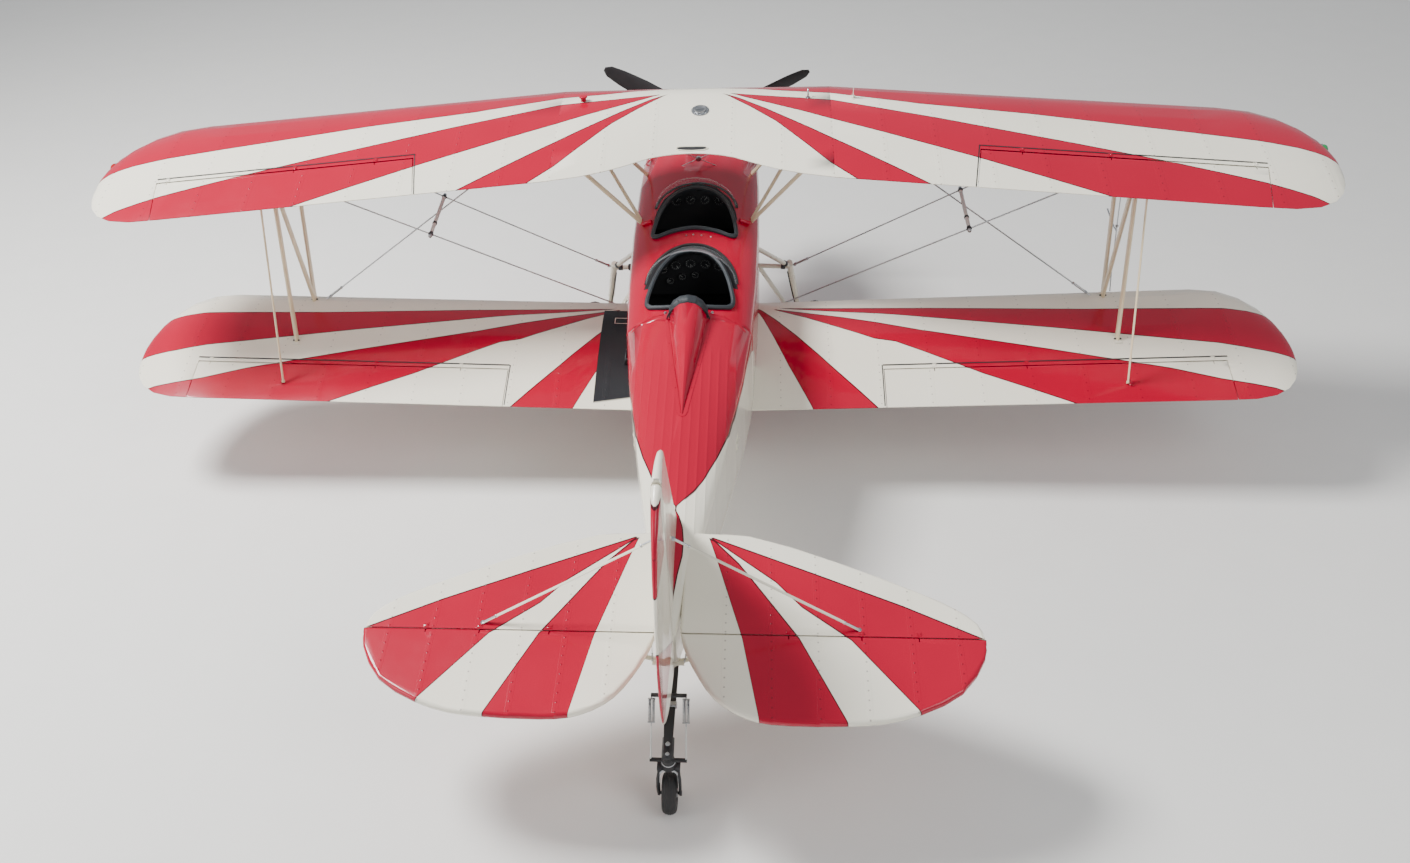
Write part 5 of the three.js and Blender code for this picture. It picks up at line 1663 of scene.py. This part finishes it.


# The hand hold in the middle of the trailing edge: a slot with a raised lip, its shallow well black as
# painted shade
def makeHandHold():
    slot = wingTop["slot"]
    loop = []
    for angle in allRound(40):
        c, s = math.cos(angle), math.sin(angle)
        x = math.copysign(abs(c) ** 0.6, c) * slot["half"]
        y = slot["y"] + math.copysign(abs(s) ** 0.8, s) * slot["deep"]
        loop.append((x, y))
    lip = startTube([onUpper(x, y, 0.0015) for x, y in loop], 0.0045, sides=8, closed=True)
    complete(lip, "handHoldLip", "creamMetal")
    deselectAll()
    bpy.ops.mesh.primitive_circle_add(vertices=40, radius=1, fill_type="NGON")
    well = bpy.context.object
    for vertex, (x, y) in zip(well.data.vertices, loop):
        vertex.co = onUpper(x, y, 0.0012)
    pickFaces(well, lambda at, normal: True)
    bpy.ops.mesh.extrude_region_move(TRANSFORM_OT_translate={"value": heading(0, 0, -0.006)})
    bpy.ops.object.mode_set(mode="OBJECT")
    # painted shade: the well is black
    complete(well, "handHoldWell", "black")


def makeTipLight(side, sign):
    x, y = wingTop["lightX"], wingTop["lightY"]
    place = level(sign * x, y, 0.004)
    deselectAll()
    bpy.ops.mesh.primitive_uv_sphere_add(segments=28, ring_count=16, radius=1.0)
    lens = bpy.context.object
    lens.scale = (0.021, 0.034, 0.020)
    settle(lens)
    for vertex in lens.data.vertices:
        if vertex.co.y < 0:
            vertex.co.x *= 1 + vertex.co.y * 9
            vertex.co.z *= 1 + vertex.co.y * 9
            vertex.co.y *= 1.6
    standAt(lens, place)
    complete(lens, f"tipLight.{side}", "lensRed" if sign < 0 else "lensGreen", angle=70)
    collar = startBlock((0.030, 0.080, 0.030), place - heading(sign * 0.016, 0.004, 0))
    soften(collar, 0.009, 4)
    complete(collar, f"tipLightBase.{side}", "steel")


makeTankCap()
makeVents()
makeHandHold()
for sign, side in sides:
    makeTipLight(side, sign)

# The air data probe beside the right front strut
probe = {"x": 2.925, "y": 0.46, "low": -1.02}
path = [
    (probe["x"], 0.275, -1.16), (probe["x"], 0.34, probe["low"]), (probe["x"], probe["y"], -0.64),
    (probe["x"], 0.56, -0.30),
]
run = startTube(placed(path), 0.004, sides=8)
tipPath = [(probe["x"], 0.42, -0.745), (probe["x"], 0.50, -0.765), (probe["x"], 0.72, -0.766)]
clips = [
    startRound(0.011, 0.016, level(*between(path[1], path[2], t)), heading(0, 0.24, 1), 14)
    for t in (0.2, 0.8)]
needle = startTube(placed(tipPath), 0.0055, sides=12)
complete([run, needle] + [soften(c, 0.002, 1) for c in clips], "airProbe", "steel")
print("the upper wing's small things are made")


# Tyres are spun from a profile, with grooves in the tread
wheels = {
    "main": {
        "x": 0.900, "y": 1.000, "z": -2.078, "radius": 0.215, "width": 0.150, "rim": 0.100, "grooves": 3,
    },
    "tail": {
        "x": 0.0, "y": -3.635, "z": -1.36895, "radius": 0.110, "width": 0.086, "rim": 0.052, "grooves": 4,
    },
}


def tyreProfile(wheel):
    half, rim, radius = wheel["width"] / 2, wheel["rim"] + 0.0006, wheel["radius"]
    outer = []
    steps = 44
    for i in range(steps + 1):
        angle = math.pi * i / steps
        x = -half * math.cos(angle) * (1 - 0.10 * math.cos(angle) ** 8)
        depth = math.sin(angle) ** 0.62
        r = rim + 0.004 + (radius - rim - 0.004) * depth
        flat = abs(x) / half
        if flat < 0.62:
            groove = abs(((x / half / 0.62 + 1) / 2 * wheel["grooves"]) % 1 - 0.5)
            r -= 0.0045 * (radius / 0.215) * (1 if groove > 0.40 else 0)
        outer.append((x, min(r, radius)))
    return outer + [(half * 0.86, rim), (-half * 0.86, rim)]


def makeTyre(node, wheel, sign, body):
    profile = tyreProfile(wheel)
    deselectAll()
    bpy.ops.mesh.primitive_circle_add(vertices=len(profile), radius=1)
    obj = bpy.context.object
    for vertex, (x, r) in zip(obj.data.vertices, profile):
        vertex.co = (wheel["x"] * sign + x, wheel["y"], wheel["z"] + r)
    bpy.ops.object.mode_set(mode="EDIT")
    bpy.ops.mesh.select_all(action="SELECT")
    bpy.ops.mesh.spin(
        steps=72, angle=2 * math.pi, center=(wheel["x"] * sign, wheel["y"], wheel["z"]), axis=(1, 0, 0))
    bpy.ops.mesh.select_all(action="SELECT")
    bpy.ops.mesh.remove_doubles(threshold=0.00005)
    bpy.ops.object.mode_set(mode="OBJECT")
    standAt(obj, parked["datum"])
    old = skins.pop(node)
    choose(old)
    bpy.ops.object.delete()
    complete(obj, f"{node}.tread", "rubber", body=body, angle=40)
    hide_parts(node)


for sign, side in sides:
    makeTyre(f"tyre_{side}", wheels["main"], sign, f"wheel_{side}")
makeTyre("tailwheel_tyre", wheels["tail"], 1, "tailwheel")


def makeWheelTrim(side, sign):
    wheel = wheels["main"]
    centre = (wheel["x"] * sign, wheel["y"], wheel["z"])
    bolts = []
    for face in (-1, 1):
        x = centre[0] + face * wheel["width"] * 0.232
        for angle in allRound(6):
            at = level(x, centre[1] + 0.068 * math.cos(angle), centre[2] + 0.068 * math.sin(angle))
            bolts.append((at, heading(face, 0, 0)))
    complete(copies(startBolt(0.0065), bolts), f"rimBolts.{side}", "steel", body=f"wheel_{side}")
    disc = startRound(0.083, 0.006, level(centre[0] - sign * 0.080, centre[1], centre[2]), sideAxis, 56)
    settle(disc)
    pickFaces(disc, lambda at, normal: abs(normal.x) > 0.9)
    bpy.ops.mesh.inset(thickness=0.030)
    bpy.ops.mesh.inset(thickness=0.004)
    bpy.ops.transform.resize(value=(0.5, 1, 1))
    bpy.ops.object.mode_set(mode="OBJECT")
    soften(disc, 0.0008, 1)
    carrier = startRound(0.045, 0.030, level(centre[0] - sign * 0.066, centre[1], centre[2]), sideAxis, 32)
    complete([disc, soften(carrier, 0.003, 2)], f"brakeDisc.{side}", "steel", body=f"wheel_{side}")
    cap = startRound(
        0.030, 0.016, level(centre[0] + sign * 0.079, centre[1], centre[2]), heading(sign, 0, 0), 32)
    soften(cap, 0.005, 3)
    complete(cap, f"axleCap.{side}", "alloy", body=f"wheel_{side}")
    jaw = startBlock(
        (0.040, 0.050, 0.075), level(centre[0] - sign * 0.080, centre[1] - 0.070, centre[2] + 0.020))
    soften(jaw, 0.008, 3)
    pickFaces(jaw, lambda at, normal: abs(normal.x) > 0.9)
    bpy.ops.mesh.inset(thickness=0.009)
    bpy.ops.transform.resize(value=(0.9, 1, 1))
    bpy.ops.object.mode_set(mode="OBJECT")
    hose = [
        (0.790, 0.925, -2.035), (0.780, 0.905, -1.99), (0.760, 0.918, -1.92), (0.740, 0.925, -1.80),
        (0.700, 0.928, -1.62),
        (0.670, 0.925, -1.46),
    ]
    line = startTube([level(sign * x, y, z) for x, y, z in hose], 0.0045, sides=10)
    complete(jaw, f"brakeJaw.{side}", "alloy")
    complete(line, f"brakeLine.{side}", "rubber", angle=60)
    # collars on the gear's joints
    collars = []
    for a, b, at, radius in (
        ((0.400, 0.955, -1.420), (0.689, 0.950, -1.428), 0.235, 0.023),
        ((0.400, 0.500, -0.900), (0.689, 0.950, -1.428), 0.640, 0.023),
        ((0.689, 0.950, -1.428), (0.790, 1.000, -2.078), 0.440, 0.026),
    ):
        start, end = level(*mirrorX(a, sign)), level(*mirrorX(b, sign))
        along = (end - start).normalized()
        collars.append(soften(startRound(radius, 0.035, start + along * at, along, 24), 0.003, 2))
    complete(collars, f"gearCollars.{side}", "darkSteel")


for sign, side in sides:
    makeWheelTrim(side, sign)
sleeve = startRound(0.026, 0.11, level(-0.520, 0.953, -1.4235), heading(1, 0.017, 0.028), 24)
soften(sleeve, 0.004, 3)
complete(sleeve, "stepPad", "rubber")
print("wheels are made")

# Tail: rudder cables, steering springs and links, spring clamp and fork casting
steering = {
    "horn": (0.088, -3.345, -0.925), "arm": (0.090, -3.585, -1.140),
    "springTop": 0.06, "springEnd": 0.42, "apart": 0.0095, "coil": 0.0068, "wire": 0.0026, "turns": 17,
    "cableExit": (0.175, -2.36, -0.90), "rudderHorn": (0.080, -3.260, -0.770),
}


def makeSteering(side, sign):
    horn, arm = (mirrorX(steering[key], sign) for key in ("horn", "arm"))
    middle = between(horn, arm, steering["springEnd"] + 0.06)
    # two coils side by side, hooked to the horn
    parts = []
    top, foot = (Vector(between(horn, arm, steering[key])) for key in ("springTop", "springEnd"))
    along = (foot - top).normalized()
    out = Vector((1, 0, 0))
    back = along.cross(out).normalized()
    for offset in (-steering["apart"], steering["apart"]):
        points = []
        count = steering["turns"] * 10
        for i in range(count + 1):
            angle = 2 * math.pi * i / 10
            place = top + (foot - top) * (i / count) + out * offset
            points.append(place + (out * math.cos(angle) + back * math.sin(angle)) * steering["coil"])
        parts.append(startTube(placed(points), steering["wire"], sides=4))
    parts.append(startTube([level(*horn), level(*top)], 0.003))
    parts.append(startTube([level(*foot), level(*middle)], 0.003))
    for at in (top, foot):
        bar = startBlock((0.038, 0.010, 0.006), level(*at))
        parts.append(soften(bar, 0.0015, 1))
    spring = clothe(joined(parts), f"steerSpring.{side}", "steel", angle=50)
    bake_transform(spring)
    link = startTube([level(*middle), level(*arm)], 0.0045, sides=8)
    eye = startRound(0.010, 0.008, level(*arm), upAxis, 16)
    link = clothe(joined([link, soften(eye, 0.001, 1)]), f"steerLink.{side}", "dialWhite", "steel", 50)
    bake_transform(link)
    # cable from the tail cone to the rudder's horn
    start, end = (mirrorX(steering[key], sign) for key in ("cableExit", "rudderHorn"))
    cable = startTube([level(*between(start, end, t)) for t in (0, 0.25, 0.5, 0.75, 1)], 0.0018, sides=6)
    shackle = startTerminal(end, start, 0.02, 0.45)
    cable = clothe(joined([cable, shackle]), f"rudderCable.{side}", "steel")
    level(*between(start, end, 0.15))
    level(*between(start, end, 0.93))
    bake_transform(cable)
    guard = startRound(0.012, 0.05, level(*start), Vector(level(*end)) - Vector(level(*start)), 16)
    soften(guard, 0.003, 2)
    complete(guard, f"cableExit.{side}", "rubber")


for sign, side in sides:
    makeSteering(side, sign)

leaf = {
    "rows": [
        (-2.840, -1.012, 0.038), (-3.200, -1.022, 0.034), (-3.440, -1.052, 0.026),
        (-3.600, -1.092, 0.020),
    ],
    "clampY": (-3.06, -3.33), "shorter": (-3.30, -3.10), "from": -2.86, "thick": 0.0095, "width": 0.062,
}


stack = []
for i, end in enumerate(leaf["shorter"]):
    rows = []
    for k in range(15):
        y = leaf["from"] + (end - leaf["from"]) * k / 14
        z = rowAt(leaf["rows"], y)[1]
        rows.append((level(0, y, z - 0.006 - leaf["thick"] * i), sideAxis))
    strip = startStrip(rows, leaf["width"], 0.009)
    stack.append(soften(strip, 0.002, 1))
complete(stack, "springLeaves", "black", "paint_black")
clamps = []
for y in leaf["clampY"]:
    _, z, half = rowAt(leaf["rows"], y)
    deep = 0.040 if y > -3.2 else 0.026
    band = startBlock((half * 2 + 0.014, 0.034, deep), level(0, y, z + 0.008 - (deep - 0.022) / 2))
    clamps.append(soften(band, 0.005, 3))
    nut = startRound(0.008, 0.012, level(0, y, z + 0.022), upAxis, 6)
    clamps.append(soften(nut, 0.001, 1))
complete(clamps, "springClamps", "steel")

fork = {
    "pin": (-3.585, -1.112), "radius": 0.030, "height": 0.084, "skirt": 1.42,
    "ringZ": -1.150, "ring": 0.034,
    "arch": [
        (0.050, -3.629, -1.280), (0.049, -3.622, -1.238), (0.043, -3.619, -1.207),
        (0.030, -3.618, -1.192), (0.0, -3.618, -1.190),
    ],
    "axle": (0.0585, -3.635, -1.36895),
    "cheek": [
        (0.030, -3.600, -1.186), (0.050, -3.612, -1.200), (0.0565, -3.632, -1.240), (0.058, -3.648, -1.285),
        (0.0565, -3.652, -1.330), (0.0555, -3.642, -1.368),
    ],
    "headBolts": ((-3.552, -1.047, 0.0095), (-3.604, -1.055, 0.0080)),
}
y, z = fork["pin"]
body = startRound(fork["radius"], fork["height"], level(0, y, z - 0.044), upAxis, 32)
settle(body)
for vertex in body.data.vertices:
    low = toLevel(vertex.co).z < z - 0.05
    middle = level(0, y, toLevel(vertex.co).z)
    vertex.co = middle + (vertex.co - middle) * (fork["skirt"] if low else 1.0)
soften(body, 0.012, 4)
cheeks = []
for sign in (-1, 1):
    nut = startRound(0.015, 0.009, level(*mirrorX(fork["axle"], sign)), heading(sign, 0, 0), 6)
    cheeks.append(soften(nut, 0.0015, 1))
    cheeks.append(startTube([level(*mirrorX(p, sign)) for p in fork["cheek"]], 0.0080, sides=12))
complete([body] + cheeks, "forkCasting", "black", "paint_black", body="tail_fork", angle=50)
# light grey lip along the fork's arch and a ring round its crown: bare metal edges that also carry a painted
# highlight
rightHalf = fork["arch"]
arch = [mirrorX(p, -1) for p in rightHalf] + rightHalf[-2::-1]
lip = startTube(placed(arch), 0.0045, sides=12)
wide = fork["ring"]
ring = [level(wide * math.cos(a), y + wide * math.sin(a), fork["ringZ"]) for a in allRound(40)]
collar = startTube(ring, 0.0035, sides=8, closed=True)
complete([lip, collar], "forkEdges", "greyPaint", body="tail_fork", angle=60)
bolts = []
for boltY, boltZ, size in fork["headBolts"]:
    bolt = startBolt(size)
    turn = heading(0, 0.1, 1).to_track_quat("Z", "Y").to_matrix().to_4x4()
    bolt.matrix_world = Matrix.Translation(level(0, boltY, boltZ)) @ turn
    bolts.append(bolt)
complete([settle(piece) for piece in bolts], "headBolts", "steel")
print("the tail gear is made")

# Nose: inlet lips, panel seams, fasteners, exhausts and louvres on the sides
cowl = {
    "sections": [
        # y, half width, bottom, side top, top
        (2.290, 0.215, -1.175, -0.910, -0.800), (2.220, 0.290, -1.255, -0.880, -0.760),
        (2.050, 0.360, -1.330, -0.840, -0.700), (1.700, 0.425, -1.400, -0.800, -0.640),
        (1.3503, 0.440, -1.425, -0.790, -0.605),
    ],
    "hoops": (1.372, 1.78), "hoopWidth": 0.022, "sideEnds": (1.372, 2.20), "sideWidth": 0.024,
    "louvres": {"count": 5, "y": 1.56, "pitch": 0.034, "z": -1.16, "size": (0.012, 0.020, 0.11)},
    "thrustZ": -0.980, "inletX": 0.150, "inletUp": 0.020, "inlet": (0.055, 0.045),
}


def cowlAt(y):
    return rowAt(cowl["sections"], y)


# A point on the cowling's skin: turn 0 is the right side, a quarter is the top, half is the left side
def onCowl(y, turn, lift=0.0):
    _, half, _, side, top = cowlAt(y)
    angle = math.pi * 2 * turn
    x, z = (half + lift) * math.cos(angle), side + (top - side + lift) * math.sin(angle)
    return level(x, y, z)


def makeCowlSeams():
    strips, places = [], []
    for y in cowl["hoops"]:
        rows = []
        for i in range(41):
            turn = 0.5 * i / 40
            rows.append((onCowl(y, turn, 0.0012), heading(0, 1, -0.1)))
            if i % 4 == 2:
                _, half, _, side, top = cowlAt(y)
                out = heading(
                    math.cos(2 * math.pi * turn) / half, 0, math.sin(2 * math.pi * turn) / (top - side))
                places.append((onCowl(y, turn, 0.0016), out))
        strips.append(startStrip(rows, cowl["hoopWidth"], 0.0012))
    aftEnd, foreEnd = cowl["sideEnds"]
    for sign in (-1, 1):
        rows = []
        for i in range(31):
            y = aftEnd + (foreEnd - aftEnd) * i / 30
            _, half, _, side, _ = cowlAt(y)
            rows.append((level(sign * (half + 0.0012), y, side - 0.02), upAxis))
            if i % 3 == 1:
                places.append((level(sign * (half + 0.0018), y, side - 0.02), heading(sign, 0.2, 0)))
        strips.append(startStrip(rows, cowl["sideWidth"], 0.0012))
    complete(strips, "cowlSeams", "redMetal", angle=50)
    complete(copies(startScrew(0.0065), places), "cowlFasteners", "steel")


def makeInletLips():
    wide, high = cowl["inlet"]
    lips = []
    for sign in (-1, 1):
        loop = []
        for angle in allRound(36):
            x = sign * cowl["inletX"] + (wide + 0.003) * math.cos(angle)
            z = cowl["thrustZ"] + cowl["inletUp"] + (high + 0.003) * math.sin(angle)
            edge = 2.2905 if abs(x) < 0.213 else 2.2905 - (abs(x) - 0.213) * 0.93
            loop.append(level(x, edge, z))
        lips.append(startTube(loop, 0.007, sides=12, closed=True))
    complete(lips, "inletLips", "redMetal", angle=60)
    # black boxes behind the inlets, seen through them, as painted shade inside the cowling
    boxes = []
    for sign in (-1, 1):
        duct = startRound(1.0, 0.10, (0, 0, 0), vertices=32)
        duct.scale = (wide + 0.012, high + 0.012, 1)
        settle(duct)
        pickFaces(duct, lambda at, normal: normal.z > 0.9)
        bpy.ops.mesh.inset(thickness=0.006)
        bpy.ops.mesh.extrude_region_move(TRANSFORM_OT_translate={"value": (0, 0, -0.085)})
        bpy.ops.object.mode_set(mode="OBJECT")
        turn = Vector(noseAxis).to_track_quat("Z", "X").to_matrix().to_4x4()
        roll = Matrix.Rotation(math.pi / 2, 4, "Z")
        place = level(sign * cowl["inletX"], 2.155, cowl["thrustZ"] + cowl["inletUp"])
        duct.data.transform(Matrix.Translation(place) @ turn @ roll)
        boxes.append(duct)
    # painted shade: the boxes are black
    complete(boxes, "inletDucts", "black", "paint_black")


exhaust = {
    "x": 0.235, "radius": 0.026,
    "path": [(1.70, -1.33), (1.66, -1.40), (1.60, -1.445), (1.50, -1.475), (1.40, -1.492)],
}


def makeExhausts():
    for sign, side in sides:
        points = [level(sign * exhaust["x"], y, z) for y, z in exhaust["path"]]
        pipe = startTube(points, exhaust["radius"], sides=28)
        axis = (points[-1] - points[-2]).normalized()
        pickFaces(pipe, lambda at, normal: normal.dot(axis) > 0.95)
        bpy.ops.mesh.inset(thickness=0.003)
        bpy.ops.mesh.extrude_region_move(TRANSFORM_OT_translate={"value": axis * -0.06})
        bpy.ops.object.mode_set(mode="OBJECT")
        band = startRound(exhaust["radius"] + 0.004, 0.018, points[3] - axis * 0.01, axis, 32)
        complete([pipe, soften(band, 0.002, 2)], f"exhaust.{side}", "burntSteel", angle=50)


def makeLouvres():
    fins, shape = [], cowl["louvres"]
    for sign in (-1, 1):
        for i in range(shape["count"]):
            y = shape["y"] - i * shape["pitch"]
            half = cowlAt(y)[1]
            fin = startBlock(shape["size"], level(sign * (half - 0.001), y, shape["z"]))
            settle(fin)
            pickFaces(fin, lambda at, normal: normal.dot(noseAxis) > 0.9)
            bpy.ops.transform.resize(value=(0.15, 1, 0.9))
            bpy.ops.object.mode_set(mode="OBJECT")
            fins.append(soften(fin, 0.002, 2))
    complete(fins, "cowlLouvres", "redMetal")


makeCowlSeams()
makeInletLips()
makeExhausts()
makeLouvres()

# Spinner: screws round its base and a bright rim plate behind it
spin = {"y": 2.31, "radius": 0.160, "thrustZ": -0.980}
places = []
for angle in allRound(12, 0.5):
    out = heading(math.cos(angle), 0.02, math.sin(angle))
    places.append((level(0, spin["y"] + 0.024, spin["thrustZ"]) + out * (spin["radius"] - 0.0005), out))
complete(copies(startScrew(0.0055), places), "spinnerScrews", "steel", body="propeller")
ring = []
for angle in allRound(72):
    ring.append(
        level(
            spin["radius"] * math.cos(angle), spin["y"] + 0.003,
            spin["thrustZ"] + spin["radius"] * math.sin(angle)))
complete(startTube(ring, 0.0035, sides=8, closed=True), "spinnerRim", "steel", body="propeller", angle=60)
print("the nose is detailed")

# Cover plates, grips and steps of the fuselage and the wings' undersides
covers = {
    "wing": [(1.25, -0.10), (1.90, -0.30), (2.60, -0.30), (3.30, -0.30)],
    "hullSide": [(-1.45, -0.98), (-2.35, -0.90)],
    "radius": 0.058,
}


def startCover(radius):
    disc = startRound(radius, 0.003, (0, 0, 0.001), vertices=36)
    settle(disc)
    press(disc, lambda at, normal: normal.z > 0.9, (0.007, (0, 0, 0.0012)))
    soften(disc, 0.0006, 1)
    spots = [
        ((radius * 0.75 * math.cos(a), radius * 0.75 * math.sin(a), 0.0034), (0, 0, 1))
        for a in allRound(3)]
    return joined([disc] + copies(startScrew(0.005), spots))


places = []
for sign in (-1, 1):
    for x, y in covers["wing"]:
        for deckName in ("lower", "upper"):
            reach = y if deckName == "lower" else trailingEdge("upper", x) + 0.45
            down = slopeUp(deckName, x, reach) * -1
            places.append((level(sign * x, reach, skinHeight(deckName, x, reach, -1)), down))
complete(copies(startCover(covers["radius"]), places), "wingCovers", "creamMetal")
places = []
for sign in (-1, 1):
    for y, z in covers["hullSide"]:
        half, ahead, behind = sectionAt(y)[1], sectionAt(y + 0.1)[1], sectionAt(y - 0.1)[1]
        places.append((level(sign * half, y, z), heading(sign, (behind - ahead) / 0.2, 0)))
complete(copies(startCover(covers["radius"]), places), "hullCovers", "creamMetal")

step = [
    (-0.425, -0.30, -1.20), (-0.475, -0.30, -1.215), (-0.482, -0.30, -1.25), (-0.482, -0.40, -1.25),
    (-0.475, -0.40, -1.215), (-0.418, -0.40, -1.20),
]
complete(startTube(placed(step), 0.008, sides=12), "bootStep", "darkSteel", angle=60)
print("covers and steps are made")
